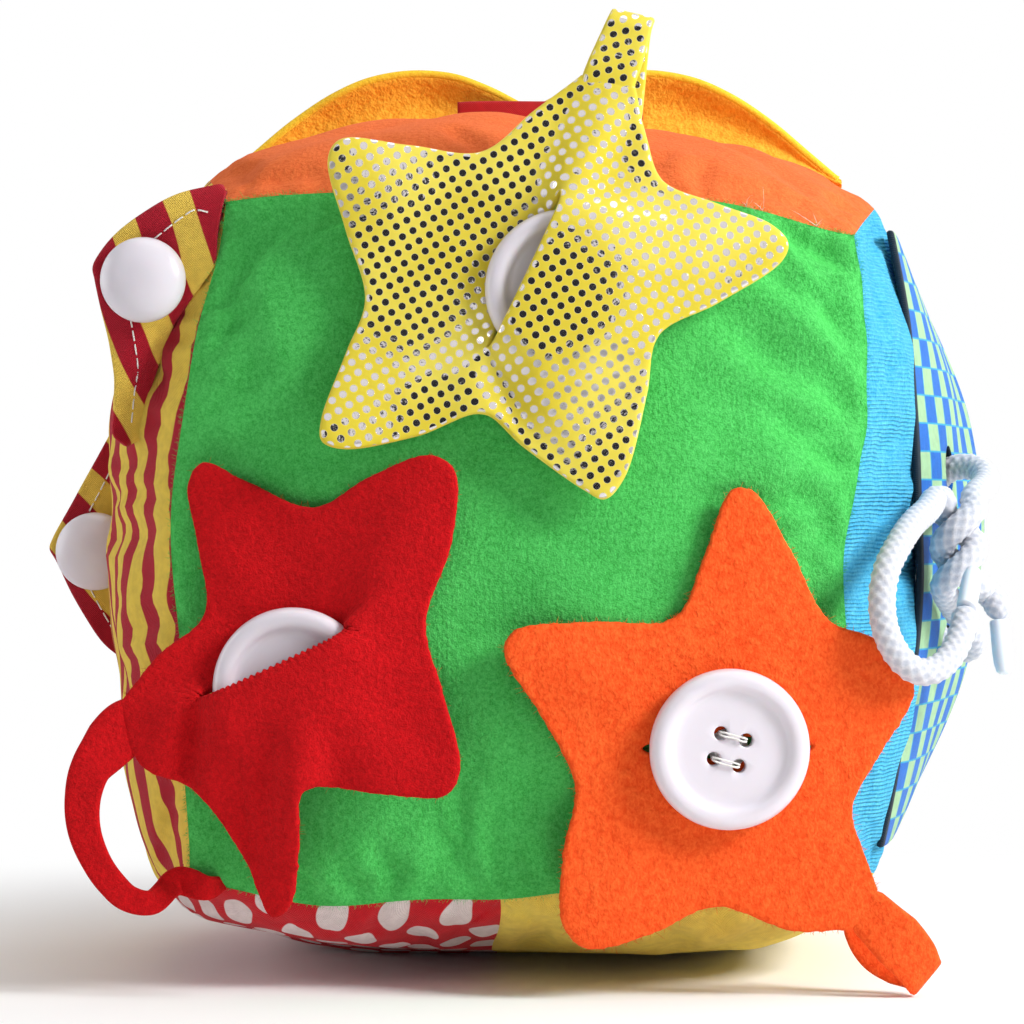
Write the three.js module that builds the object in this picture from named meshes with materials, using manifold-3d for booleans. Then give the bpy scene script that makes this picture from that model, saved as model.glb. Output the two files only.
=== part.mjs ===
// A soft fabric block for a small child: a stuffed cube of sewn panels that carries three buttoned
// stars on straps, two striped tabs with dome buttons, two petals and a lacing band.
// Millimetres, +Z up. The green front faces -Y, and the origin is on the floor under the block.
import * as THREE from "three";
import Module from "manifold-3d";
import { mergeVertices } from "three/addons/utils/BufferGeometryUtils.js";

const wasm = await Module();
wasm.setup();

// The stuffed cube, from seam to seam
const blockWidth = 154;
const blockDepth = 156;
const blockHeight = 156;
const seamLift = 27; // height of the bottom corners above the floor
const edgeBowX = 6; // how far the middle of an edge along X swells out
const edgeBowY = 10;
const edgeBowZ = 3;
const frontCrown = 14; // how far the middle of a face stands beyond its corners
const backCrown = 14;
const leftCrown = 24;
const rightCrown = 18;
const topCrown = 26;
const bottomCrown = 27.5; // pressed flat where it reaches the floor
const panelThickness = 1.5;
const clearance = 0.3;
const gridLines = 10; // cells across one face

// Stars
const starReach = 58;
const starThickness = 2.4;
const tipRound = 5.5;
const valleyRound = 3.5;
const slitLength = 39;
const slitWidth = 1.2;
const shankSlitWidth = 7; // the slit that a thread shank stands in is spread this wide
const drapeLength = 16; // how far a raised lip takes to settle again
const lipMargin = 3.5; // how far past a button's rim its lip stays raised
const swivelDegrees = [-5.5, 0, 5.5]; // a star can turn this far about its button

// Big four-hole buttons
const buttonDiameter = 37;
const buttonThickness = 4.8;
const buttonFloor = 2.8; // thickness of the sunk middle
const buttonRecessDiameter = 26;
const holeCircleRadius = 4.3;
const holeDiameter = 2.8;
const threadDiameter = 1.2;
const shankDiameter = 3.6;
const shankFlare = 1.1; // height over which the shank spreads to the four holes
const buttonBehindLip = 1.6; // back of a half-through button above the star's plane
const buttonOverStar = 1.2; // air between the orange star and its button

// Straps
const strapWidth = 11;
const strapThickness = 1.6;
const foldRadius = 1.9;
const yellowStrapReach = 14;
const orangeStrapReach = 19;
const redStrapWidth = 7.5;
const redStrapThickness = 2.4;

// Tabs and dome buttons
const tabThickness = 1.8;
const tabBackingThickness = 1.4;
const upperTabY = -74;
const lowerTabY = 6;
const upperTabHeight = 64;
const lowerTabHeight = 68;
const upperTabBase = 120;
const lowerTabBase = 74;
const upperTabReach = 24;
const lowerTabReach = 24;
const tabRootGap = 0.7; // lets a tab's thick edge turn beside the panel
const backingHem = 1.2; // how far a backing shows past its tab
const domeDiameter = 20;
const domeHeight = 6;
const domeShankDiameter = 7;
const domeShankLength = 2;

// Petals and their band
const petalLength = 78;
const petalHeight = 17;
const petalThickness = 3;
const petalY = 11;
const petalCup = 4; // how far the middle of a petal is pushed back
const petalGap = 5; // between the two petals
const petalBandWidth = 48;
const petalBandHeight = 9;
const petalBandThickness = 1.8;
const petalBandGap = 1.4; // room for a petal that folds back to swing its foot forward

// Lacing band and cord
const bandNearY = -50;
const bandFarY = 22;
const bandThickness = 1.8;
const bandNearLift = 2.5;
const bandFarLift = 22;
const bandTopZ = 180;
const bandBottomZ = 31;
const laceHoleWidth = 9.6;
const laceHoleHeight = 12;
const upperHoleZ = 122.5;
const lowerHoleZ = 78;
const laceHoleY = -25.5;
const laceDiameter = 6.5;
const laceTipDiameter = 4.8;
const upperTipLength = 13;
const lowerTipLength = 12;
const knotX = 102;
const knotY = -55;
const knotBottomZ = 95;
const knotPitch = 20;
const knotRadius = 3.9;

const black = 0x111111;
const white = 0xf2f0ee;

// Small helpers

function mesh(name, geometry, color, roughness = 0.9) {
  const material = new THREE.MeshStandardMaterial({ color, roughness, metalness: 0 });
  const made = new THREE.Mesh(geometry, material);
  made.name = name;
  return made;
}

function geometryOfTriangles(corners) {
  const flat = corners.flatMap((p) => [p.x, p.y, p.z]);
  const geometry = new THREE.BufferGeometry();
  geometry.setAttribute("position", new THREE.Float32BufferAttribute(flat, 3));
  geometry.computeVertexNormals();
  return geometry;
}

// The corners of the two triangles of every cell of a grid of points
function cellCorners(grid, flip) {
  const corners = [];
  for (let i = 0; i + 1 < grid.length; i += 1) {
    for (let j = 0; j + 1 < grid[i].length; j += 1) {
      const [a, b, c, d] = [grid[i][j], grid[i + 1][j], grid[i + 1][j + 1], grid[i][j + 1]];
      corners.push(...(flip ? [a, c, b, a, d, c] : [a, b, c, a, c, d]));
    }
  }
  return corners;
}

function signedVolume(corners) {
  let sum = 0;
  for (let i = 0; i < corners.length; i += 3) {
    sum += corners[i].dot(new THREE.Vector3().crossVectors(corners[i + 1], corners[i + 2]));
  }
  return sum;
}

// A closed sheet between two grids of points. A wrapped one joins its last row to its first.
function sheet(front, back, wrapped = false) {
  const rows = wrapped ? [...front.keys(), 0] : [...front.keys()];
  const frontRows = rows.map((i) => front[i]);
  const backRows = rows.map((i) => back[i]);
  const last = front[0].length - 1;
  const corners = cellCorners(frontRows, false).concat(cellCorners(backRows, true));
  const firstSide = frontRows.map((row, i) => [backRows[i][0], row[0]]);
  const lastSide = frontRows.map((row, i) => [row[last], backRows[i][last]]);
  corners.push(...cellCorners(firstSide, false), ...cellCorners(lastSide, false));
  if (!wrapped) {
    const end = frontRows.length - 1;
    const startSide = [backRows[0], frontRows[0]];
    const endSide = [frontRows[end], backRows[end]];
    corners.push(...cellCorners(startSide, false), ...cellCorners(endSide, false));
  }
  if (signedVolume(corners) < 0) corners.reverse();
  return geometryOfTriangles(corners);
}

function solidOf(geometry) {
  const bare = new THREE.BufferGeometry();
  bare.setAttribute("position", geometry.getAttribute("position"));
  if (geometry.index) bare.setIndex(geometry.index);
  const merged = mergeVertices(bare);
  const vertProperties = merged.attributes.position.array;
  const triVerts = new Uint32Array(merged.index.array);
  return new wasm.Manifold(new wasm.Mesh({ numProp: 3, vertProperties, triVerts }));
}

function geometryOfSolid(solid) {
  const { vertProperties, triVerts } = solid.getMesh();
  const geometry = new THREE.BufferGeometry();
  geometry.setAttribute("position", new THREE.Float32BufferAttribute(vertProperties, 3));
  geometry.setIndex([...triVerts]);
  const separate = geometry.toNonIndexed();
  separate.computeVertexNormals();
  return separate;
}

// A turned solid whose axis is Z
function turned(profile, segments) {
  const points = profile.map(([r, z]) => new THREE.Vector2(r, z));
  return new THREE.LatheGeometry(points, segments).rotateX(Math.PI / 2);
}

// The stuffed cube

const half = [blockWidth / 2, blockDepth / 2, blockHeight / 2];
const edgeBows = [edgeBowX, edgeBowY, edgeBowZ];
const blockCentreZ = seamLift + blockHeight / 2;
const softPower = 3;
const flatPower = 4;
const faces = {
  front: { axis: 1, sign: -1, crown: frontCrown, power: 2.5 },
  back: { axis: 1, sign: 1, crown: backCrown, power: 2.5 },
  left: { axis: 0, sign: -1, crown: leftCrown, power: softPower },
  right: { axis: 0, sign: 1, crown: rightCrown, power: softPower },
  top: { axis: 2, sign: 1, crown: topCrown, power: softPower },
  bottom: { axis: 2, sign: -1, crown: bottomCrown, power: flatPower },
};
const panelScale = 1 - panelThickness / half[0];
const coreScale = panelScale - clearance / half[0];
const seamGapShare = clearance / half[0];
const bottomSeamShare = -0.09; // where the two bottom cloths meet, as a share of half the width

// A point of one face, for p and q from -1 to 1 along the face's other two axes
function blockPoint(face, p, q, scale = 1) {
  const [b, c] = [0, 1, 2].filter((axis) => axis !== face.axis);
  const crown = face.crown * (1 - Math.abs(p) ** face.power) * (1 - Math.abs(q) ** face.power);
  const bow = edgeBows[c] * (1 - q * q) * p ** 4 + edgeBows[b] * (1 - p * p) * q ** 4;
  const at = [0, 0, 0];
  at[face.axis] = face.sign * (half[face.axis] + crown + bow);
  at[b] = p * (half[b] + edgeBows[c] * (1 - q * q));
  at[c] = q * (half[c] + edgeBows[b] * (1 - p * p));
  at[2] = Math.max(at[2], -blockCentreZ);
  const point = new THREE.Vector3(...at).multiplyScalar(scale);
  point.z += blockCentreZ;
  return point;
}

// The point of a face that lies at two given coordinates, found by a few corrections
function surfaceAt(face, first, second) {
  const [b, c] = [0, 1, 2].filter((axis) => axis !== face.axis);
  const shift = c === 2 ? blockCentreZ : 0;
  let p = 0;
  let q = 0;
  for (let round = 0; round < 8; round += 1) {
    p = first / (half[b] + edgeBows[c] * (1 - q * q));
    q = (second - shift) / (half[c] + edgeBows[b] * (1 - p * p));
    p = THREE.MathUtils.clamp(p, -1, 1);
    q = THREE.MathUtils.clamp(q, -1, 1);
  }
  return blockPoint(face, p, q);
}

// Grid lines along an axis, closer together near the edges. The middle X line is the bottom seam.
function linesAlong(axis) {
  const lines = [];
  for (let i = 0; i <= gridLines; i += 1) lines.push(Math.sin(Math.PI * (i / gridLines - 0.5)));
  lines[gridLines / 2] = axis === 0 ? bottomSeamShare : 0;
  return lines;
}

function faceGrid(face, pLines, qLines, scale) {
  return pLines.map((p) => qLines.map((q) => blockPoint(face, p, q, scale)));
}

function faceLines(face) {
  return [0, 1, 2].filter((axis) => axis !== face.axis).map(linesAlong);
}

function drawnIn(lines) {
  const last = lines.length - 1;
  return lines.map((v, i) => v + (i === 0 ? seamGapShare : 0) - (i === last ? seamGapShare : 0));
}

function panel(face, pLines, qLines) {
  const [p, q] = [drawnIn(pLines), drawnIn(qLines)];
  return sheet(faceGrid(face, p, q, 1), faceGrid(face, p, q, panelScale));
}

function core() {
  const corners = [];
  for (const face of Object.values(faces)) {
    const grid = faceGrid(face, ...faceLines(face), coreScale);
    const flip = (face.sign > 0) === (face.axis === 1);
    corners.push(...cellCorners(grid, flip));
  }
  return geometryOfTriangles(corners);
}

function addBlock(group) {
  group.add(mesh("stuffing_core", core(), white));
  const plain = { front: 0x2fa83e, back: 0xc8202c, left: 0xd7a63a, right: 0x63cdf2, top: 0xf07a3c };
  for (const [side, color] of Object.entries(plain)) {
    group.add(mesh(`${side}_panel`, panel(faces[side], ...faceLines(faces[side])), color));
  }
  const [pLines, qLines] = faceLines(faces.bottom);
  const middle = gridLines / 2;
  const dotted = panel(faces.bottom, pLines.slice(0, middle + 1), qLines);
  const yellow = panel(faces.bottom, pLines.slice(middle), qLines);
  group.add(mesh("bottom_dotted_panel", dotted, 0xcf2c33));
  group.add(mesh("bottom_yellow_panel", yellow, 0xe0bf4e));
}

// Stars. Outlines are shares of the star's reach, from the middle of its button.

const yellowStar = {
  name: "yellow_star",
  color: 0xecd94f,
  centre: [7.2, -90, 162.6],
  leanDegrees: -5.5,
  turnDegrees: 0,
  halfThrough: true,
  slitMiddleShare: [-0.157, 0.072],
  slitDegrees: 65,
  rootShares: [[0.271, 0.797], [0.059, 0.828]],
  tipShares: [[-0.926, 0.569], [-0.947, -0.628], [0.157, -0.828], [0.871, 0.172]],
  outlineShares: [
    [-0.926, 0.569], [-0.788, -0.016], [-0.947, -0.628], [-0.307, -0.502], [0.157, -0.828],
    [0.369, -0.188], [0.871, 0.172], [0.376, 0.416], [0.271, 0.797], [0.059, 0.828],
    [-0.329, 0.55],
  ],
};
const redStar = {
  name: "red_star",
  color: 0xc4121a,
  centre: [-54.9, -90, 71.7],
  leanDegrees: 0,
  turnDegrees: -6,
  halfThrough: true,
  slitMiddleShare: [-0.071, 0.098],
  slitDegrees: 25,
  rootShares: [[-0.695, -0.067], [-0.655, -0.248]],
  tipShares: [[-0.372, 0.879], [-0.066, -0.909], [0.653, -0.386], [0.598, 0.912]],
  outlineShares: [
    [-0.372, 0.879], [-0.379, 0.276], [-0.695, -0.067], [-0.655, -0.248], [-0.388, -0.426],
    [-0.066, -0.909], [0.057, -0.378], [0.653, -0.386], [0.524, 0.243], [0.598, 0.912],
    [0.081, 0.716],
  ],
};
const orangeStar = {
  name: "orange_star",
  color: 0xf4581f,
  centre: [44.1, -89.5, 58],
  leanDegrees: 2,
  turnDegrees: 5,
  halfThrough: false,
  slitMiddleShare: [0, 0],
  slitDegrees: 0,
  rootShares: [[0.479, -0.722], [0.602, -0.581]],
  tipShares: [[0.047, 1.038], [-0.879, 0.448], [-0.569, -0.786], [0.722, 0.224]],
  outlineShares: [
    [0.047, 1.038], [-0.216, 0.516], [-0.879, 0.448], [-0.609, -0.141], [-0.569, -0.786],
    [-0.074, -0.629], [0.479, -0.722], [0.602, -0.581], [0.495, -0.188], [0.722, 0.224],
    [0.393, 0.503],
  ],
};

function scaled(shares, size) {
  return shares.map(([x, y]) => new THREE.Vector2(x * size, y * size));
}

// The outline with each corner turned into a short curve, and one point midway along each edge
function roundedOutline(star) {
  const corners = scaled(star.outlineShares, starReach);
  const isIn = (list, i) => list.some((share) => share.join() === star.outlineShares[i].join());
  const cuts = corners.map((_, i) => {
    if (isIn(star.rootShares, i)) return clearance;
    return isIn(star.tipShares, i) ? tipRound : valleyRound;
  });
  const curves = corners.map((corner, i) => {
    const before = corners[(i + corners.length - 1) % corners.length];
    const after = corners[(i + 1) % corners.length];
    const from = corner.clone().add(before.clone().sub(corner).setLength(cuts[i]));
    const to = corner.clone().add(after.clone().sub(corner).setLength(cuts[i]));
    return new THREE.QuadraticBezierCurve(from, corner, to);
  });
  return curves.flatMap((curve, i) => {
    const next = curves[(i + 1) % curves.length];
    return [...curve.getPoints(2), curve.v2.clone().lerp(next.v0, 0.5)];
  });
}

// Rows of points from the slit's edge out to the outline
function starGrid(star, rings) {
  const middle = scaled([star.slitMiddleShare], starReach)[0];
  const angle = THREE.MathUtils.degToRad(star.slitDegrees);
  const width = star.halfThrough ? slitWidth : shankSlitWidth;
  const origin = new THREE.Vector2();
  return roundedOutline(star).map((outer) => {
    const inSlit = outer.clone().sub(middle).rotateAround(origin, -angle);
    const around = Math.atan2(inSlit.y, inSlit.x);
    const inner = new THREE.Vector2(
      Math.cos(around) * slitLength / 2,
      Math.sin(around) * width / 2,
    ).rotateAround(origin, angle).add(middle);
    return rings.map((share) => inner.clone().lerp(outer, share));
  });
}

// How far the front panel stands out of a star's plane at one of the star's points, at most,
// while the star turns about its button
function panelHeight(frame, point) {
  const heights = swivelDegrees.map((degrees) => {
    const turned = point.clone().rotateAround(new THREE.Vector2(), THREE.MathUtils.degToRad(degrees));
    const at = frame.localToWorld(new THREE.Vector3(turned.x, turned.y, 0));
    return at.y - surfaceAt(faces.front, at.x, at.z).y;
  });
  return Math.max(...heights);
}

// The height limits of the cloth over the panel, and where the half-through button lies before
// or behind it
function lipLimits(star, frame, point) {
  const floor = panelHeight(frame, point) + 2 * clearance;
  const near = point.length() < buttonDiameter / 2 + lipMargin;
  if (!star.halfThrough || !near) return [floor, Infinity];
  const middle = scaled([star.slitMiddleShare], starReach)[0];
  const angle = THREE.MathUtils.degToRad(star.slitDegrees);
  const across = new THREE.Vector2(-Math.sin(angle), Math.cos(angle));
  const side = point.clone().sub(middle).dot(across) * -Math.sign(middle.dot(across));
  const over = buttonBehindLip + buttonThickness + clearance;
  const under = buttonBehindLip - starThickness - clearance;
  return side > 0 ? [over, Infinity] : [floor, Math.max(floor, under)];
}

// Heights of the cloth over its plane: it settles between the limits like a stretched skin
function drape(star, frame, grid) {
  const heights = grid.map((row) => row.map(() => 0));
  const limits = grid.map((row) => row.map((point) => lipLimits(star, frame, point)));
  const rows = grid.length;
  const rounds = 300;
  for (let round = 0; round < rounds; round += 1) {
    for (let i = 0; i < rows; i += 1) {
      for (let j = 0; j < grid[i].length; j += 1) {
        let weights = 1 / drapeLength ** 2;
        let sum = 0;
        for (const [a, b] of [[i, j - 1], [i, j + 1], [(i + rows - 1) % rows, j], [(i + 1) % rows, j]]) {
          if (grid[a][b] === undefined) continue;
          const weight = 1 / grid[a][b].distanceToSquared(grid[i][j]);
          weights += weight;
          sum += weight * heights[a][b];
        }
        heights[i][j] = THREE.MathUtils.clamp(sum / weights, ...limits[i][j]);
      }
    }
  }
  return heights;
}

function starSheet(star, frame) {
  const grid = starGrid(star, [0, 0.15, 0.35, 0.55, 0.78, 1]);
  const heights = drape(star, frame, grid);
  const raised = (extra) =>
    grid.map((row, i) => row.map((p, j) => new THREE.Vector3(p.x, p.y, heights[i][j] + extra)));
  const cloth = solidOf(sheet(raised(starThickness), raised(0), true));
  if (!star.halfThrough) return geometryOfSolid(cloth);
  const room = buttonThickness + 2 * clearance;
  const pocket = roundBar(buttonDiameter + 2 * clearance, room, 28);
  pocket.translate(0, 0, buttonBehindLip - clearance + room / 2);
  return geometryOfSolid(cloth.subtract(solidOf(pocket)));
}

function holeCentres() {
  return [29, 119, 209, 299].map((degrees) => {
    const angle = THREE.MathUtils.degToRad(degrees);
    return new THREE.Vector2(Math.cos(angle), Math.sin(angle)).multiplyScalar(holeCircleRadius);
  });
}

function roundBar(diameter, length, sides = 8) {
  const radius = diameter / 2;
  return new THREE.CylinderGeometry(radius, radius, length, sides).rotateX(Math.PI / 2);
}

function fourHoleButton() {
  const radius = buttonDiameter / 2;
  const recess = buttonRecessDiameter / 2;
  const edge = buttonThickness / 3;
  const profile = [
    [0, 0],
    [radius - edge, 0],
    [radius, edge],
    [radius, 2 * edge],
    [radius - edge, buttonThickness],
    [recess + edge, buttonThickness - clearance],
    [recess, buttonFloor],
    [0, buttonFloor],
  ];
  let solid = solidOf(turned(profile, 28));
  for (const { x, y } of holeCentres()) {
    const hole = roundBar(holeDiameter, 2 * buttonThickness).translate(x, y, 0);
    solid = solid.subtract(solidOf(hole));
  }
  return geometryOfSolid(solid);
}

// The thread of one button: a shank from the cloth up to the button, and a stitch through each
// pair of holes
function buttonThread(base, back) {
  const top = back - clearance;
  const radius = shankDiameter / 2;
  const spread = holeCircleRadius + threadDiameter / 2;
  const profile = [
    [0, base],
    [radius, base],
    [radius, top - shankFlare],
    [spread, top - clearance],
    [spread, top],
    [0, top],
  ];
  let solid = solidOf(turned(profile, 12));
  const over = back + buttonFloor + clearance + threadDiameter / 2;
  const centres = holeCentres();
  for (const { x, y } of centres) {
    const leg = over - top + clearance;
    const bar = roundBar(threadDiameter, leg).translate(x, y, over - leg / 2);
    solid = solid.add(solidOf(bar));
  }
  for (const [a, b] of [[centres[0], centres[1]], [centres[2], centres[3]]]) {
    const middle = a.clone().add(b).multiplyScalar(0.5);
    const bar = roundBar(threadDiameter, a.distanceTo(b) + threadDiameter);
    bar.rotateY(Math.PI / 2).rotateZ(b.clone().sub(a).angle()).translate(middle.x, middle.y, over);
    solid = solid.add(solidOf(bar));
  }
  return geometryOfSolid(solid);
}

// A star stands in a group whose Z looks out of the front
function starFrame(star) {
  const frame = new THREE.Group();
  frame.position.set(...star.centre);
  frame.rotation.x = Math.PI / 2 + THREE.MathUtils.degToRad(star.leanDegrees);
  frame.rotation.y = THREE.MathUtils.degToRad(star.turnDegrees);
  frame.updateMatrixWorld(true);
  return frame;
}

function addStar(group, star) {
  const frame = starFrame(star);
  const back = star.halfThrough ? buttonBehindLip : starThickness + buttonOverStar;
  const base = panelHeight(frame, new THREE.Vector2()) + 2 * clearance;
  frame.add(mesh(star.name, starSheet(star, frame), star.color));
  const button = mesh(`${star.name}_button`, fourHoleButton(), white, 0.25);
  button.position.z = back;
  frame.add(button);
  frame.add(mesh(`${star.name}_thread`, buttonThread(base, back), white));
  group.add(frame);
  return frame;
}

// Straps. Each is a ribbon along a curve, with one size across it along a fixed direction.

function ribbon(route, across, acrossSize, otherSize, steps) {
  const curve = new THREE.CatmullRomCurve3(route, false, "centripetal");
  const rows = [];
  for (let i = 0; i <= steps; i += 1) {
    const at = curve.getPointAt(i / steps);
    const other = new THREE.Vector3().crossVectors(curve.getTangentAt(i / steps), across).normalize();
    rows.push({ at, other });
  }
  const side = (sign) =>
    rows.map(({ at, other }) =>
      [-acrossSize / 2, acrossSize / 2].map((offset) =>
        at.clone().addScaledVector(across, offset).addScaledVector(other, sign * otherSize / 2)));
  return sheet(side(1), side(-1));
}

function rootMiddle(star) {
  const [a, b] = scaled(star.rootShares, starReach);
  return a.clone().add(b).multiplyScalar(0.5);
}

// The direction of the edge where a strap leaves its star, and a way to place points beyond it
function strapRoot(star, frame) {
  const [a, b] = scaled(star.rootShares, starReach);
  const edge = b.clone().sub(a).normalize();
  const out = new THREE.Vector2(edge.y, -edge.x);
  if (out.dot(rootMiddle(star)) < 0) out.negate();
  const place = (along, height) => {
    const flat = rootMiddle(star).addScaledVector(out, along);
    return frame.localToWorld(new THREE.Vector3(flat.x, flat.y, height));
  };
  return { edge, place };
}

// A strap that leaves a star's arm, folds back behind itself and ends at a seam
function foldedStrap(star, frame, reach, seamPoint, steps) {
  const { edge, place } = strapRoot(star, frame);
  const level = starThickness / 2;
  const bend = reach - foldRadius;
  const across = new THREE.Vector3(edge.x, edge.y, 0).transformDirection(frame.matrixWorld);
  const behind = place(bend, level - 2 * foldRadius);
  const route = [
    place(clearance, level),
    place(bend / 2, level),
    place(bend, level),
    place(reach, level - foldRadius),
    behind,
    behind.clone().lerp(seamPoint, 0.5),
    seamPoint,
  ];
  return ribbon(route, across, strapWidth, strapThickness, steps);
}

// The red strap hangs in a loop from the star's left arm to the lower left corner
const redStrapSpan = 42; // from the top of the loop to its bottom
const redStrapShares = [
  [-0.17, -0.05, -0.14], [-0.24, -0.05, -0.33], [-0.25, -0.04, -0.52], [-0.2, -0.02, -0.71],
  [-0.1, 0, -0.87], [0.06, 0.03, -0.965], [0.21, 0.06, -0.97],
];

function redStrap(star, frame, seamPoint) {
  const { place } = strapRoot(star, frame);
  const level = starThickness / 2;
  const start = place(2 * clearance, level);
  const next = place(redStrapThickness, level);
  const loop = redStrapShares.map((share) =>
    new THREE.Vector3(...share).multiplyScalar(redStrapSpan).add(start));
  const across = new THREE.Vector3(0, 1, 0);
  return ribbon([start, next, ...loop, seamPoint], across, redStrapThickness, redStrapWidth, 18);
}

function addStars(group) {
  const yellowFrame = addStar(group, yellowStar);
  const redFrame = addStar(group, redStar);
  const orangeFrame = addStar(group, orangeStar);
  const topSeam = blockPoint(faces.front, 0.23, 1);
  topSeam.add(new THREE.Vector3(0, -clearance, 3 * clearance));
  const yellow = foldedStrap(yellowStar, yellowFrame, yellowStrapReach, topSeam, 16);
  group.add(mesh("yellow_star_strap", yellow, yellowStar.color));
  const rightCorner = blockPoint(faces.front, 1, -1);
  rightCorner.add(new THREE.Vector3(strapThickness, -2 * clearance, -strapThickness));
  const orange = foldedStrap(orangeStar, orangeFrame, orangeStrapReach, rightCorner, 16);
  group.add(mesh("orange_star_strap", orange, orangeStar.color));
  const leftCorner = blockPoint(faces.front, -1, -1);
  leftCorner.add(new THREE.Vector3(-redStrapThickness, -2 * clearance, -redStrapThickness));
  group.add(mesh("red_star_strap", redStrap(redStar, redFrame, leftCorner), redStar.color));
}

// Tabs. Outlines run from the top of the root round the tip to the bottom of the root, as shares
// of the tab's reach beyond the root and of its height over its base.

const upperTabShares = [
  [0.2, 0.99], [0.42, 0.95], [0.66, 0.86], [0.85, 0.755], [0.88, 0.72], [0.81, 0.6], [0.7, 0.44],
  [0.66, 0.31], [0.5, 0.14], [0.1, 0.01],
];
const lowerTabShares = [
  [0.3, 0.995], [0.36, 0.9], [0.5, 0.82], [0.74, 0.65], [0.95, 0.475], [0.96, 0.445],
  [0.68, 0.29], [0.48, 0.18], [0.22, 0.01],
];

function tabSide(shares, y, depth, base, height, reach, hem) {
  const rootShares = [0, 0.2, 0.4, 0.6, 0.8, 1];
  const rootX = (z) =>
    Math.min(surfaceAt(faces.left, y, z).x, surfaceAt(faces.left, y + depth, z).x) - tabRootGap;
  const shape = new THREE.Shape();
  rootShares.forEach((share, i) => {
    const z = base + share * height;
    shape[i === 0 ? "moveTo" : "lineTo"](rootX(z), z);
  });
  for (const [outShare, upShare] of shares) {
    const z = base + upShare * height;
    shape.lineTo(rootX(z) - outShare * reach - hem, z);
  }
  const settings = { depth, bevelEnabled: false, steps: 1 };
  return new THREE.ExtrudeGeometry(shape, settings).rotateX(Math.PI / 2).translate(0, y + depth, 0);
}

function domeButton() {
  const radius = domeDiameter / 2;
  const neck = domeShankDiameter / 2;
  const rim = domeHeight / 4;
  const profile = [[0, 0], [neck, 0], [neck, domeShankLength], [radius - rim, domeShankLength]];
  profile.push([radius, domeShankLength + rim]);
  for (const share of [0.85, 0.6, 0.3, 0]) {
    const rise = (domeHeight - rim) * Math.sqrt(1 - share * share);
    profile.push([radius * share, domeShankLength + rim + rise]);
  }
  return turned(profile, 20).rotateX(Math.PI / 2);
}

function addTab(group, name, shares, y, base, height, reach, domeShare) {
  const front = tabSide(shares, y, tabThickness, base, height, reach, 0);
  const backY = y + tabThickness + clearance;
  const back = tabSide(shares, backY, tabBackingThickness, base, height, reach, backingHem);
  const dome = mesh(`${name}_dome_button`, domeButton(), white, 0.3);
  const domeZ = base + domeShare[1] * height;
  const rootX = surfaceAt(faces.left, y, domeZ).x;
  dome.position.set(rootX - domeShare[0] * reach, y - clearance, domeZ);
  group.add(mesh(`${name}_tab`, front, 0xd03a34));
  group.add(mesh(`${name}_tab_backing`, back, 0x9a1c28));
  group.add(dome);
}

function addTabs(group) {
  const upperDomeShare = [0.44, 0.72];
  const lowerDomeShare = [0.46, 0.41];
  addTab(group, "upper", upperTabShares, upperTabY, upperTabBase, upperTabHeight, upperTabReach,
    upperDomeShare);
  addTab(group, "lower", lowerTabShares, lowerTabY, lowerTabBase, lowerTabHeight, lowerTabReach,
    lowerDomeShare);
}

// Petals. The rim's height over the top of the block, as shares of the petal's height, from the
// outer end to the inner end.

const petalRimShares = [0.02, 0.3, 0.6, 0.83, 0.97, 1, 0.93, 0.72, 0.42];

function petal(side) {
  const inner = side * petalGap / 2;
  const columns = petalRimShares.map((rimShare, i) => {
    const share = i / (petalRimShares.length - 1);
    const x = inner + side * petalLength * (1 - share);
    const yBack = petalY + petalThickness;
    const root = Math.max(surfaceAt(faces.top, x, petalY).z, surfaceAt(faces.top, x, yBack).z);
    const rise = clearance + rimShare * petalHeight;
    return { x, root: root + clearance, rise: Math.max(rise, petalThickness / 2) };
  });
  const stepShares = [0, 0.35, 0.7, 1];
  const face = (y) =>
    columns.map(({ x, root, rise }) =>
      stepShares.map((share) => {
        const cup = petalCup * Math.sin(Math.PI * share) * rise / petalHeight;
        return new THREE.Vector3(x, y + cup, root + share * rise);
      }));
  return sheet(face(petalY), face(petalY + petalThickness));
}

function petalBand() {
  const start = -petalBandWidth * 0.4;
  const shares = [0, 0.25, 0.5, 0.75, 1];
  const face = (y) =>
    shares.map((share) => {
      const x = start + share * petalBandWidth;
      const root = surfaceAt(faces.top, x, petalY).z + clearance;
      return [0, 0.5, 1].map((up) => new THREE.Vector3(x, y, root + up * petalBandHeight));
    });
  const y = petalY - petalBandGap - petalBandThickness;
  return sheet(face(y), face(y + petalBandThickness));
}

function addPetals(group) {
  group.add(mesh("left_petal", petal(-1), 0xf2a02c));
  group.add(mesh("right_petal", petal(1), 0xf2a02c));
  group.add(mesh("petal_band", petalBand(), 0xc4121a));
}

// The lacing band: an arch over the right side that stands off more at its far edge

function bandPoint(along, across, extra) {
  const y = bandNearY + across * (bandFarY - bandNearY);
  const z = bandBottomZ + along * (bandTopZ - bandBottomZ);
  const lift = bandNearLift + across * (bandFarLift - bandNearLift);
  const arch = Math.sin(Math.PI * along) ** 0.7;
  const point = surfaceAt(faces.right, y, z);
  point.x += clearance + lift * arch + extra;
  return point;
}

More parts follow.
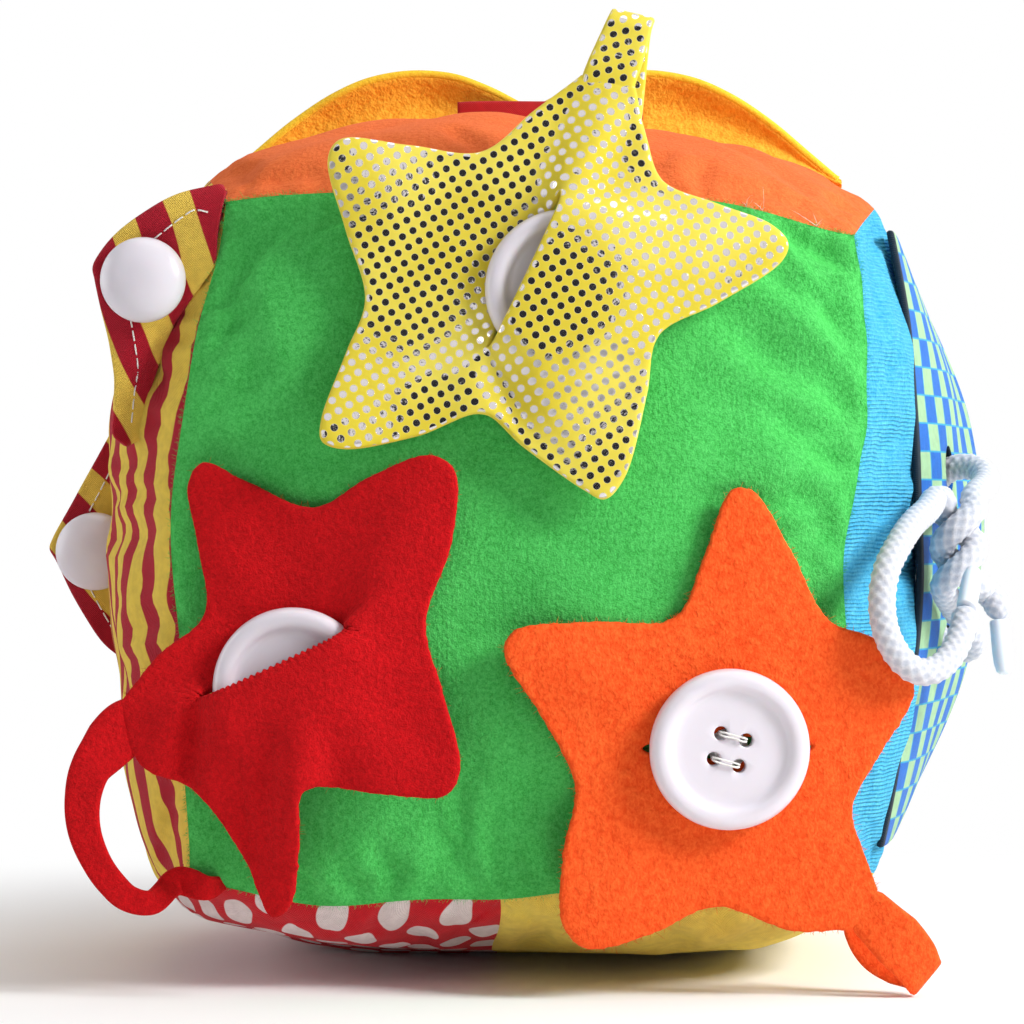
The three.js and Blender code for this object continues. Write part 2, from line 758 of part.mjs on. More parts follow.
function lacingBand() {
  const alongSteps = 14;
  const acrossShares = [0, 0.2, 0.4, 0.6, 0.8, 1];
  const face = (extra) =>
    Array.from({ length: alongSteps + 1 }, (_, i) =>
      acrossShares.map((across) => bandPoint(i / alongSteps, across, extra)));
  let solid = solidOf(sheet(face(bandThickness), face(0)));
  for (const z of [upperHoleZ, lowerHoleZ]) {
    const along = (z - bandBottomZ) / (bandTopZ - bandBottomZ);
    const across = (laceHoleY - bandNearY) / (bandFarY - bandNearY);
    const at = bandPoint(along, across, bandThickness / 2);
    const hole = roundBar(laceHoleWidth, bandFarLift, 12);
    hole.scale(laceHoleHeight / laceHoleWidth, 1, 1).rotateY(Math.PI / 2).rotateZ(-0.4);
    solid = solid.subtract(solidOf(hole.translate(at.x, at.y, at.z)));
  }
  return geometryOfSolid(solid);
}

// The cord. Each half starts behind the band, comes out of its hole, twists round the other half
// in the knot and ends in a smooth tip.

function knotPoints(startDegrees, upward) {
  const points = [];
  const steps = 8;
  for (let i = 0; i <= steps; i += 1) {
    const share = upward ? i / steps : 1 - i / steps;
    const angle = THREE.MathUtils.degToRad(startDegrees) + share * 2 * Math.PI;
    points.push([
      knotX + knotRadius * Math.cos(angle),
      knotY + knotRadius * Math.sin(angle),
      knotBottomZ + share * knotPitch,
    ]);
  }
  return points;
}

const upperLaceRoute = [
  [99.3, -24, 101.2], [99.3, -24, 108], [99.3, -24, 115], [101, -24.6, 120.5],
  [104.8, -26, 123], [108.6, -28.6, 123.2], [111, -33, 121.6], [110.6, -39, 119],
  ...knotPoints(20, false),
  [109.5, -48.5, 92.8], [112, -49.6, 89.6], [112.4, -50.6, 86],
];
const lowerLaceRoute = [
  [99.3, -24, 100.5], [99.3, -24, 93], [99.3, -24, 86], [101, -24.6, 80.5],
  [104.8, -26, 78], [108, -29.5, 78.2], [107.5, -36.5, 82], [102.5, -43, 88.5],
  ...knotPoints(200, true),
  [97, -55.5, 115.5], [93.5, -64, 112.5], [88.6, -74, 109], [84.4, -83, 104.2],
  [81, -89.4, 98.6], [79.6, -92.6, 91.6], [80.4, -93.8, 84.6], [83.6, -93.4, 78.6],
  [88, -92, 75.4], [92.8, -89, 76], [96.8, -84.8, 79.4], [99.6, -80, 84.4], [101.2, -75.6, 89.4],
];

function lace(route) {
  const section = new THREE.Shape();
  section.absarc(0, 0, laceDiameter / 2, 0, 2 * Math.PI);
  const points = route.map((point) => new THREE.Vector3(...point));
  const extrudePath = new THREE.CatmullRomCurve3(points, false, "centripetal");
  const steps = Math.round(extrudePath.getLength() / laceDiameter);
  return new THREE.ExtrudeGeometry(section, { steps, extrudePath, curveSegments: 4 });
}

function laceTip(route, length) {
  const [before, end] = route.slice(-2).map((point) => new THREE.Vector3(...point));
  const radius = laceTipDiameter / 2;
  const taper = 0.7;
  const profile = [[0, 0], [radius, 0], [radius, length * taper], [radius * taper, length], [0, length]];
  const tip = turned(profile, 10);
  const towards = end.clone().sub(before).normalize();
  const turn = new THREE.Quaternion().setFromUnitVectors(new THREE.Vector3(0, 0, 1), towards);
  return { geometry: tip, turn, at: end.addScaledVector(towards, clearance) };
}

function addLacing(group) {
  group.add(mesh("lacing_band", lacingBand(), 0x2f93dd));
  const halves = [
    ["upper_lace", upperLaceRoute, upperTipLength],
    ["lower_lace", lowerLaceRoute, lowerTipLength],
  ];
  for (const [name, route, tipLength] of halves) {
    group.add(mesh(name, lace(route), white));
    const { geometry, turn, at } = laceTip(route, tipLength);
    const tip = mesh(`${name}_tip`, geometry, 0xdfe9f2, 0.3);
    tip.quaternion.copy(turn);
    tip.position.copy(at);
    group.add(tip);
  }
}

const block = new THREE.Group();
addBlock(block);
addStars(block);
addTabs(block);
addPetals(block);
addLacing(block);

export default block;
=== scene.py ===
"""Looks of the soft fabric block: sewn panels, cloth stars on straps, tabs, petals and lacing.

Sizes are in millimetres, in the part's own frame, and turned into metres where a mesh is made.
The green front faces -Y and Z is up.
"""

import math

import bpy
import numpy as np
from mathutils import Matrix, Vector


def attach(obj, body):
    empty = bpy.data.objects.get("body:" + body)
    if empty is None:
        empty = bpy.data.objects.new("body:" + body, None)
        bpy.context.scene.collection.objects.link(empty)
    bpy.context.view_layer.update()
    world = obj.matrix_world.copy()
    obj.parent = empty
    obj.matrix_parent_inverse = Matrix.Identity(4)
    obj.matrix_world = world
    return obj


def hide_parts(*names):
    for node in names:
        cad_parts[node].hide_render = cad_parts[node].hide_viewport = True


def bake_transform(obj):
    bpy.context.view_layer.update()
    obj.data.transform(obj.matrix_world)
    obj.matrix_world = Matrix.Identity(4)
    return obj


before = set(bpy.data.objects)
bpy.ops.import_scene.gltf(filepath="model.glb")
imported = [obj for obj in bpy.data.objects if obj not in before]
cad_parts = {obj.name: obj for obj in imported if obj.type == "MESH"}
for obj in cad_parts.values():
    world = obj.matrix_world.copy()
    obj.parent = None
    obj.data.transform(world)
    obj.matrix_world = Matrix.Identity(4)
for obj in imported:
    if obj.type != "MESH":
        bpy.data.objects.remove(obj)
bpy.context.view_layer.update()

MM = 0.001
seed = 11

# Camera, at the photograph's viewing angle

camera_place = (-5.1, -880, 112)
lens_length = 120.9
sensor_width = 36
clip_start = 10

# The stuffed cube, from seam to seam, as in the part

half = np.array([77.0, 78.0, 78.0])
centre_z = 105.0
edge_bows = (6.0, 10.0, 3.0)
soft_power = 3
faces_of_block = {
    "front": {"axis": 1, "sign": -1, "crown": 14.0, "power": 2.5},
    "back": {"axis": 1, "sign": 1, "crown": 14.0, "power": 2.5},
    "left": {"axis": 0, "sign": -1, "crown": 24.0, "power": soft_power},
    "right": {"axis": 0, "sign": 1, "crown": 18.0, "power": soft_power},
    "top": {"axis": 2, "sign": 1, "crown": 26.0, "power": soft_power},
    "bottom": {"axis": 2, "sign": -1, "crown": 27.5, "power": 4},
}
bottom_seam_share = -0.09
panel_lines = 121
close_lines_share = 0.6
core_lines = 41
core_share = 0.93
seam_dip = 1.7
seam_round = 3.0
pucker_depth = 0.55
pucker_pitch = 9.0
pucker_reach = 3.0
pucker_sway = 2.0
pucker_sway_width = 30.0
pucker_change = 0.4
pucker_change_width = 60.0
lump_height = 0.45
lump_width = 38.0
lump_fade = (2, 22)
small_lump_height = 0.18
small_lump_width = 14.0
crease_fade = 6.0
floor_soft_height = 6.0
floor_gap = 0.02
# How far the front seams lie from the plain cube: sideways at heights up the left and right
# seam, and upwards at the upper left, upper right, lower left and lower right corner
left_seam_shifts = [(20, -5.5), (60, -5.0), (105, -5.0), (130, -4.6), (148, -2.0), (168, 1.6), (186, 4.2)]
right_seam_shifts = [
    (20, -1.0), (60, -3.5), (97, -4.8), (112, -3.4), (124, -2.2), (134, 0.4), (150, 0.6), (161, -1.3),
    (170, -1.0), (186, 0.2),
]
corner_lifts = (4.0, -4.0, -3.4, 3.4)
right_seam_reach = 30.0
bottom_lift = 4.0
bottom_lift_reach = 72.0
bottom_lift_lean = 0.4
bottom_lift_heights = (2, 24)
seam_waver = 0.7
waver_width = 42
floor_fade_heights = (0, 25)
front_fade_depths = (6, 20)
clearance = 0.3
# How thick a cloth is at its first lines in from a border, as shares of its full thickness
edge_rounds = (0.0, 0.72, 0.94)

# Stars

star_thickness = 2.4
star_panel_gap = 1.3
button_diameter = 37.0
button_behind_lip = 1.6
button_over_star = 1.2
slit_length = 39.0

# Cord

lace_diameter = 6.5
lace_tip_diameter = 4.8
lace_smoothing = 12
lace_step = 0.45
lace_sides = 48
plaits = 6
plait_depth = 0.42
braid_pitch_share = 2.4
lace_tip_round = 0.4
lace_tip_taper = [(1, 0.6), (0.93, 0.8), (0.75, 0.95), (0.5, 1), (0, 1)]


# Small helpers


def smooth(value, low, high):
    """0 below low, 1 above high, and a soft step between them."""
    share = np.clip((value - low) / (high - low), 0, 1)
    return share * share * (3 - 2 * share)


def lumps(points, width, order, count=28):
    """A smooth random field of about unit size, with lumps about half of width across."""
    random = np.random.default_rng(seed + order)
    directions = random.normal(size=(count, points.shape[-1]))
    directions /= np.linalg.norm(directions, axis=1, keepdims=True)
    widths = width * random.uniform(0.7, 1.7, count)
    phases = random.uniform(0, 2 * math.pi, count)
    total = np.zeros(points.shape[:-1])
    for direction, size, phase in zip(directions, widths, phases):
        total += np.sin(points @ direction * (2 * math.pi / size) + phase)
    return total / math.sqrt(count / 2)


def unit(vectors):
    return vectors / np.maximum(np.linalg.norm(vectors, axis=-1, keepdims=True), 1e-9)


def catmull_rom(points, per_span=24):
    """The centripetal curve through the points, as three.js makes it."""
    points = np.array(points, float)
    first = 2 * points[0] - points[1]
    last = 2 * points[-1] - points[-2]
    padded = np.vstack([first, points, last])
    shares = np.linspace(0, 1, per_span, endpoint=False)[:, None]
    made = []
    for p0, p1, p2, p3 in zip(padded, padded[1:], padded[2:], padded[3:]):
        d0, d1, d2 = (math.sqrt(np.linalg.norm(b - a)) for a, b in ((p0, p1), (p1, p2), (p2, p3)))
        out = ((p1 - p0) / d0 - (p2 - p0) / (d0 + d1) + (p2 - p1) / d1) * d1
        into = ((p2 - p1) / d1 - (p3 - p1) / (d1 + d2) + (p3 - p2) / d2) * d1
        square = -3 * p1 + 3 * p2 - 2 * out - into
        cube = 2 * p1 - 2 * p2 + out + into
        made.append(p1 + out * shares + square * shares**2 + cube * shares**3)
    made.append(points[-1:])
    return np.vstack(made)


def distances(line):
    """How far along the line each of its points is."""
    return np.concatenate([[0], np.cumsum(np.linalg.norm(np.diff(line, axis=0), axis=1))])


def circle(count):
    return np.arange(count) * 2 * math.pi / count


def even_steps(line, count, closed=False):
    """The line again, with points at equal steps."""
    if closed:
        line = np.vstack([line, line[:1]])
    lengths = distances(line)
    wanted = np.linspace(0, lengths[-1], count, endpoint=not closed)
    return np.stack([np.interp(wanted, lengths, line[:, i]) for i in range(line.shape[1])], axis=1)


def length_of(line):
    return float(np.sum(np.linalg.norm(np.diff(line, axis=0), axis=1)))


def lifted(places, heights):
    """Flat places with a height as their third number."""
    heights = np.broadcast_to(heights, places.shape[:-1])
    return np.concatenate([places, heights[..., None]], axis=-1)


def outline_normals(line):
    """Directions across a closed flat outline."""
    along = np.roll(line, -1, axis=0) - np.roll(line, 1, axis=0)
    return unit(np.stack([along[:, 1], -along[:, 0]], axis=1))


def add_object(name, points, polygons, flat, material):
    """A smooth mesh of points in millimetres. Flat gives each point's place in the cloth."""
    mesh = bpy.data.meshes.new(name)
    mesh.from_pydata((np.asarray(points) * MM).tolist(), [], polygons)
    if flat is not None:
        layer = mesh.uv_layers.new(name="flat")
        corners = np.zeros(len(mesh.loops), np.int32)
        mesh.loops.foreach_get("vertex_index", corners)
        layer.data.foreach_set("uv", np.asarray(flat, float)[corners].ravel())
    mesh.validate()
    mesh.shade_smooth()
    mesh.materials.append(material)
    made = bpy.data.objects.new(name, mesh)
    bpy.context.collection.objects.link(made)
    return made


def grid_polygons(index, wrap=False, flip=False):
    """The four-cornered faces of a grid of point numbers."""
    rows = np.vstack([index, index[:1]]) if wrap else index
    quads = np.stack([rows[:-1, :-1], rows[1:, :-1], rows[1:, 1:], rows[:-1, 1:]], axis=-1).reshape(-1, 4)
    return (quads[:, ::-1] if flip else quads).tolist()


def ring_polygons(rows, sides):
    """The faces of a row of rings, closed at both ends by the two points after them."""
    index = np.arange(rows * sides).reshape(rows, sides)
    index = np.hstack([index, index[:, :1]])
    tips = (rows * sides, rows * sides + 1)
    first = [[tips[0], int(index[0, j + 1]), int(index[0, j])] for j in range(sides)]
    last = [[tips[1], int(index[-1, j]), int(index[-1, j + 1])] for j in range(sides)]
    return grid_polygons(index, flip=True) + first + last


def grid_normals(grid, wrap=False):
    if wrap:
        along = np.roll(grid, -1, axis=0) - np.roll(grid, 1, axis=0)
    else:
        along = np.gradient(grid, axis=0)
    return unit(np.cross(along, np.gradient(grid, axis=1)))


def cloth(name, middle, thickness, flat, material, wrap=False, facing=None):
    """A closed cloth about a grid of middle points. It thins to nothing at its borders."""
    normals = grid_normals(middle, wrap)
    if facing is not None and np.sum(normals @ np.array(facing, float)) < 0:
        normals = -normals
    thickness = np.broadcast_to(thickness, middle.shape[:2])
    front = middle + normals * thickness[..., None] / 2
    back = middle - normals * thickness[..., None] / 2
    rows, columns = middle.shape[:2]
    index = np.arange(rows * columns).reshape(rows, columns)
    inside = np.ones((rows, columns), bool)
    inside[:, [0, -1]] = False
    if not wrap:
        inside[[0, -1], :] = False
    under = index.copy()
    under[inside] = rows * columns + np.arange(np.count_nonzero(inside))
    points = np.vstack([front.reshape(-1, 3), back[inside]])
    flats = np.vstack([flat.reshape(-1, 2), flat[inside]])
    polygons = grid_polygons(index, wrap) + grid_polygons(under, wrap, flip=True)
    made = add_object(name, points, polygons, flats, material)
    towards = np.sum(np.cross(front[1, 0] - front[0, 0], front[0, 1] - front[0, 0]) * normals[0, 0])
    if towards < 0:
        made.data.flip_normals()
    return made


def border_taper(rows, columns, thickness, rounds, wrap=False):
    """Thickness that falls to nothing over the first lines of a grid, like a rounded edge."""
    along = np.full(rows, 1.0)
    across = np.full(columns, 1.0)
    for i, share in enumerate(rounds):
        across[i] = min(across[i], share)
        across[-1 - i] = min(across[-1 - i], share)
        if not wrap:
            along[i] = min(along[i], share)
            along[-1 - i] = min(along[-1 - i], share)
    return thickness * np.minimum(along[:, None], across[None, :])


def edge_shares(length, count, edge):
    """Shares from 0 to 1 with close steps at both ends, for a rounded edge of that size."""
    near = np.array([0, 0.3, 1.0]) * edge / length
    inner = np.linspace(near[-1], 1 - near[-1], count)[1:-1]
    return np.concatenate([near, inner, 1 - near[::-1]])


def transport_frames(line):
    """Two directions across a line at each of its points, turning as little as they can."""
    tangents = unit(np.gradient(line, axis=0))
    side = unit(np.cross(tangents[0], (0.3, 0.5, 0.8)))
    sides = []
    for tangent in tangents:
        side = unit(side - tangent * (side @ tangent))
        sides.append(side)
    sides = np.array(sides)
    return sides, np.cross(tangents, sides)


def tube(name, line, radii, material, sides):
    """A closed tube about a line, with a radius for each point or each point and side."""
    rows = len(line)
    radii = np.broadcast_to(np.asarray(radii, float), (rows, sides))
    first, second = transport_frames(line)
    angles = circle(sides)
    ring = first[:, None] * np.cos(angles)[None, :, None] + second[:, None] * np.sin(angles)[None, :, None]
    points = (line[:, None] + ring * radii[..., None]).reshape(-1, 3)
    points = np.vstack([points, line[0], line[-1]])
    along = distances(line)
    flats = np.stack([np.repeat(along, sides), np.tile(angles, rows)], axis=1)
    flats = np.vstack([flats, [0, 0], [along[-1], 0]])
    return add_object(name, points, ring_polygons(rows, sides), flats, material)


def turned(name, profile, material, segments):
    """A lathe piece about Z from (radius, height) pairs that start and end on the axis."""
    angles = circle(segments)
    ring = np.stack([np.cos(angles), np.sin(angles)], axis=1)
    rings = [lifted(ring * radius, height) for radius, height in profile[1:-1]]
    points = np.vstack([*rings, [0, 0, profile[0][1]], [0, 0, profile[-1][1]]])
    return add_object(name, points, ring_polygons(len(rings), segments), points[:, :2], material)


def cut(made, cutters):
    """Cuts other objects out of one and deletes them."""
    for cutter in cutters:
        step = made.modifiers.new("cut", "BOOLEAN")
        step.operation = "DIFFERENCE"
        step.solver = "EXACT"
        step.object = cutter
    shown = made.evaluated_get(bpy.context.evaluated_depsgraph_get())
    mesh = bpy.data.meshes.new_from_object(shown)
    made.modifiers.clear()
    made.data = mesh
    for cutter in cutters:
        bpy.data.objects.remove(cutter)


def join(name, pieces):
    """One object from several that share a material."""
    points, polygons, flats = [], [], []
    for piece in pieces:
        start = len(points)
        layer = piece.data.uv_layers[0].data
        flat = [(0, 0)] * len(piece.data.vertices)
        for loop in piece.data.loops:
            flat[loop.vertex_index] = tuple(layer[loop.index].uv)
        matrix = piece.matrix_world
        points += [tuple(matrix @ vertex.co / MM) for vertex in piece.data.vertices]
        polygons += [[start + i for i in polygon.vertices] for polygon in piece.data.polygons]
        flats += flat
    made = add_object(name, points, polygons, flats, pieces[0].data.materials[0])
    for piece in pieces:
        bpy.data.objects.remove(piece)
    return made


def mark_points(made, name, values):
    """Stores a number on each point, for a material to read."""
    layer = made.data.attributes.new(name, "FLOAT", "POINT")
    layer.data.foreach_set("value", np.asarray(values, np.float32))


def dress(made, body, slot, *nodes):
    """Ties a piece to its body and hides the plain nodes it stands for. The slot is not used."""
    if nodes:
        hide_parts(*nodes)
    if body:
        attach(made, body)
    return made


# Node materials

# Grains are in lumps to the metre, pitches and depths in millimetres
rib_sway_grain = 160
rib_sway_share = 1.2
rib_tone_share = 0.3
tuft_size = 3.2
tuft_height = 2.0
cloud_size = 22
pile_shares = (0.5, 0.38, 0.12)
pile_tones = (0.3, 0.7)
cloud_tones = (0.25, 0.75)
cotton_tones = (0.35, 0.65)
wear_tones = (0.2, 0.8)
wear_grain = 500
wear_height = 1.5
wear_tint = (0.86, 0.84, 0.84, 1)
plain_grain = 60
plain_contrast = 1.12
stripe_wave_grain = 34
stripe_blur = 0.012
dot_blur = 0.15
# Blur of the painted shade strip along the check ribbon's near edge
painted_shade_blur = 0.2
check_line_shares = (0.46, 0.48)
foil_blur = 0.08
foil_cloud_grain = 45
foil_weave_pitch = 0.5
foil_depth = 0.06
crumple_grain = 620
crumple_height = 1.7
strand_grain = 2600
strand_depth = 0.12
strand_tones = (0.1, 0.5)
# How the braid goes from the painted shade of its hollows to its top tone
braid_shade_tones = (0.05, 0.75)


class Wire:
    """A value in a material's nodes, which can be added, multiplied and so on like a number."""

    def __init__(self, socket):
        self.socket = socket
        self.tree = socket.id_data

    def __add__(self, other):
        return calc("ADD", self, other)

    def __sub__(self, other):
        return calc("SUBTRACT", self, other)

    def __rsub__(self, other):
        return calc("SUBTRACT", other, self)

    def __mul__(self, other):
        return calc("MULTIPLY", self, other)

    def __truediv__(self, other):
        return calc("DIVIDE", self, other)

    def __mod__(self, other):
        return calc("FLOORED_MODULO", self, other)

    def __abs__(self):
        return calc("ABSOLUTE", self)


def colour(red, green, blue):
    """A colour for a shader from 0 to 255 screen values."""
    shares = (value / 255 for value in (red, green, blue))
    return (*(s / 12.92 if s <= 0.04045 else ((s + 0.055) / 1.055) ** 2.4 for s in shares), 1)


def feed(made, inputs):
    """Sets a node's inputs to plain values, or links them to wires."""
    for name, value in inputs.items():
        if isinstance(value, Wire):
            value.tree.links.new(value.socket, made.inputs[name])
        else:
            made.inputs[name].default_value = value


def wire(tree, kind, inputs=None, output=0, **settings):
    """One output of a new node."""
    made = tree.nodes.new(kind)
    for name, value in settings.items():
        setattr(made, name, value)
    feed(made, inputs or {})
    return Wire(made.outputs[output])


def tree_of(*values):
    return next(value.tree for value in values if isinstance(value, Wire))


def calc(operation, *values):
    return wire(tree_of(*values), "ShaderNodeMath", dict(enumerate(values)), operation=operation)


def mix(share, first, second, **settings):
    inputs = {0: share, 6: first, 7: second}
    return wire(tree_of(share, first, second), "ShaderNodeMix", inputs, 2, data_type="RGBA", **settings)


def step_between(value, low, high):
    inputs = {"Value": value, "From Min": low, "From Max": high}
    return wire(value.tree, "ShaderNodeMapRange", inputs, interpolation_type="SMOOTHSTEP")


def noise(tree, scale, detail=2.0, distortion=0.0, stretch=None):
    """Noise in the object's own space, with about scale lumps to the metre."""
    place = wire(tree, "ShaderNodeTexCoord", output="Object")
    if stretch:
        place = wire(tree, "ShaderNodeMapping", {"Vector": place, "Scale": stretch})
    inputs = {"Vector": place, "Scale": scale, "Detail": detail, "Distortion": distortion}
    return wire(tree, "ShaderNodeTexNoise", inputs)


def flat_place(tree):
    """The place in the cloth, in millimetres, as two wires."""
    first = wire(tree, "ShaderNodeSeparateXYZ", {0: wire(tree, "ShaderNodeUVMap")})
    return first, Wire(first.socket.node.outputs[1])


def point_number(tree, name):
    """A number that mark_points stored on each point."""
    return wire(tree, "ShaderNodeAttribute", output="Fac", attribute_name=name)


def new_material(name, roughness, sheen=0.0, sheen_roughness=0.5, sheen_tint=(1, 1, 1, 1), specular=0.25):
    made = bpy.data.materials.new(name)
    made.use_nodes = True
    surface = made.node_tree.nodes["Principled BSDF"]
    feed(surface, {
        "Roughness": roughness, "Sheen Weight": sheen, "Sheen Roughness": sheen_roughness,
        "Sheen Tint": sheen_tint, "Specular IOR Level": specular,
    })
    return made, made.node_tree, surface


def set_bump(surface, height, depth):
    inputs = {"Height": height, "Distance": depth * MM, "Strength": 1.0}
    feed(surface, {"Normal": wire(height.tree, "ShaderNodeBump", inputs)})


def rib_height(tree, direction, pitch):
    """Knitted ribs that repeat along one of the cloth's two directions, a little unevenly."""
    sway = noise(tree, rib_sway_grain) * (pitch * rib_sway_share)
    return calc("SINE", (flat_place(tree)[direction] + sway) * (2 * math.pi / pitch))


def pile_material(name, dark, light, grain, depth, sheen=0.5, fibre=None, rib=None):
    """Velour or felt: a fine grain of fibres over a slowly changing tone, with ribs where asked."""
    made, tree, surface = new_material(name, 0.95, sheen, 0.55, colour(*light))
    fine = noise(tree, grain, 2.0, 0.4, fibre)
    tuft = noise(tree, grain / tuft_size, 2.0, 0.2)
    cloud = noise(tree, grain / cloud_size, 1.0)
    share = step_between(fine, *pile_tones) * pile_shares[0]
    share = share + step_between(tuft, *pile_tones) * pile_shares[1]
    share = share + step_between(cloud, *cloud_tones) * pile_shares[2]
    height = fine + tuft * tuft_height
    if rib:
        direction, pitch, strength = rib
        ribs = rib_height(tree, direction, pitch)
        share = share + ribs * (strength * rib_tone_share)
        height = height + ribs * strength
    feed(surface, {"Base Color": mix(share, colour(*dark), colour(*light))})
    set_bump(surface, height, depth)
    return made


def weave_height(tree, pitch):
    """The over and under of plain weave."""
    across, along = (calc("SINE", place * (2 * math.pi / pitch)) for place in flat_place(tree))
    return across * along


def woven_material(name, paint, pitch=0.55, depth=0.12, roughness=0.85, sheen=0.08):
    """Woven cotton in the colour that paint makes from the material's tree."""
    made, tree, surface = new_material(name, roughness, sheen)
    base = paint(tree)
    worn = noise(tree, wear_grain, 3.0)
    dark = mix(1.0, base, wear_tint, blend_type="MULTIPLY")
    feed(surface, {"Base Color": mix(step_between(worn, *wear_tones), dark, base)})
    set_bump(surface, weave_height(tree, pitch) + worn * wear_height, depth)
    return made


def plain_paint(tone):
    lighter = (*(min(1, value * plain_contrast) for value in colour(*tone)[:3]), 1)
    return lambda tree: mix(step_between(noise(tree, plain_grain), *cotton_tones), colour(*tone), lighter)


def stripe_paint(red, yellow, period, red_share, turn_degrees, wave):
    """Stripes that lean by an angle from the cloth's length and waver a little."""
    angle = math.radians(turn_degrees)
    blur = (red_share / 2 + stripe_blur, red_share / 2 - stripe_blur)

    def paint(tree):
        x, y = flat_place(tree)
        waver = (noise(tree, stripe_wave_grain, 1.0) - 0.5) * wave
        across = x * math.cos(angle) + y * math.sin(angle) + waver
        away = abs(calc("FRACT", across / period) - 0.5)
        return mix(step_between(away, *blur), colour(*yellow), colour(*red))

    return paint


def dot_distance(tree, pitch_x, pitch_y, turn_degrees=0):
    """Distance in millimetres from the nearest of the dots, in rows set off by half a pitch."""
    x, y = flat_place(tree)
    if turn_degrees:
        cosine, sine = math.cos(math.radians(turn_degrees)), math.sin(math.radians(turn_degrees))
        x, y = x * cosine + y * sine, y * cosine - x * sine
    row = y / pitch_y
    column = x / pitch_x + calc("FLOOR", row) % 2.0 * 0.5
    across = (calc("FRACT", column) - 0.5) * pitch_x
    along = (calc("FRACT", row) - 0.5) * pitch_y
    return calc("SQRT", across * across + along * along)


def dot_paint(ground, spot, pitch, radius):
    blur = (radius + dot_blur, radius - dot_blur)
    return lambda tree: mix(
        step_between(dot_distance(tree, pitch, pitch / 2), *blur), colour(*ground), colour(*spot)
    )


# binding is the colour of the dark near-edge strip, which is painted shade
def check_paint(blue, lime, line, binding, size, painted_shade_width):
    """Checks in rows with a line between them, and a near-black teal strip along the near edge: painted shade
    where the ribbon's edge meets the panel.
    """
    blur = (painted_shade_width + painted_shade_blur, painted_shade_width - painted_shade_blur)

    def paint(tree):
        x, y = flat_place(tree)
        cells = (x / size, y / size)
        odd = abs(calc("FLOOR", cells[0]) % 2.0 - calc("FLOOR", cells[1]) % 2.0)
        away = calc("MAXIMUM", *(abs(calc("FRACT", cell) - 0.5) for cell in cells))
        checks = mix(odd, colour(*blue), colour(*lime))
        checks = mix(step_between(away, *check_line_shares), checks, colour(*line))
        return mix(step_between(x, *blur), checks, colour(*binding))

    return paint


def foil_dot_material(name, dark, light, silver, pitch, radius, turn_degrees):
    """Thin yellow cloth with round mirror dots pressed on it in squares."""
    made, tree, surface = new_material(name, 0.6, 0.1)
    away = dot_distance(tree, pitch * math.sqrt(2), pitch / math.sqrt(2), turn_degrees)
    is_dot = step_between(away, radius + foil_blur, radius - foil_blur) * point_number(tree, "inside")
    cloud = noise(tree, foil_cloud_grain, 1.0)
    ground = mix(step_between(cloud, *cotton_tones), colour(*dark), colour(*light))
    feed(surface, {
        "Base Color": mix(is_dot, ground, colour(*silver)), "Metallic": is_dot,
        "Roughness": 0.55 - is_dot * 0.45,
    })
    weave = weave_height(tree, foil_weave_pitch) * (1.0 - is_dot)
    set_bump(surface, weave + noise(tree, crumple_grain) * crumple_height, foil_depth)
    return made


def braid_material(name, painted_hollow_shade, top):
    """Braided cord, with painted shade in the hollows between its plaits."""
    made, tree, surface = new_material(name, 0.7, 0.2, 0.4)
    strands = noise(tree, strand_grain, 2.0, 0.6)
    share = step_between(point_number(tree, "raised"), *braid_shade_tones) * step_between(strands, *strand_tones)
    feed(surface, {"Base Color": mix(share, colour(*painted_hollow_shade), colour(*top))})
    set_bump(surface, strands, strand_depth)
    return made


def smooth_material(name, tone, roughness, coat):
    made, _, surface = new_material(name, roughness, specular=0.5)
    feed(surface, {
        "Base Color": colour(*tone), "Coat Weight": coat, "Subsurface Weight": 0.1,
        "Subsurface Scale": 2 * MM,
    })
    return made


# Dark and light tone, grain, depth, and then sheen, fibre direction and ribs where they matter
piles = {
    "filling": ((225, 223, 218), (242, 240, 236), 300, 0.4),
    "green_velour": ((46, 158, 60), (90, 206, 104), 2800, 0.22, 0.9, None, (0, 1.1, 0.06)),
    "blue_velour": ((46, 156, 208), (98, 198, 232), 1500, 0.3, 0.3, None, (1, 0.95, 0.6)),
    "orange_cotton": ((218, 92, 42), (238, 122, 62), 2600, 0.2, 0.2),
    "red_velour": ((166, 0, 6), (212, 8, 18), 2600, 0.2, 0.12),
    "orange_felt": ((232, 66, 14), (255, 106, 42), 1700, 0.25, 0.25, (1, 1, 0.7)),
    "petal_felt": ((234, 150, 34), (252, 190, 62), 1400, 0.35, 0.3),
    # A yellower copy of the petal felt for the rim: painted highlight where light comes through from behind
    "petal_rim_painted_light": ((236, 186, 40), (250, 212, 64), 2400, 0.15, 0.2),
    "thread": ((226, 224, 220), (244, 242, 238), 2500, 0.02, 0.1),
}
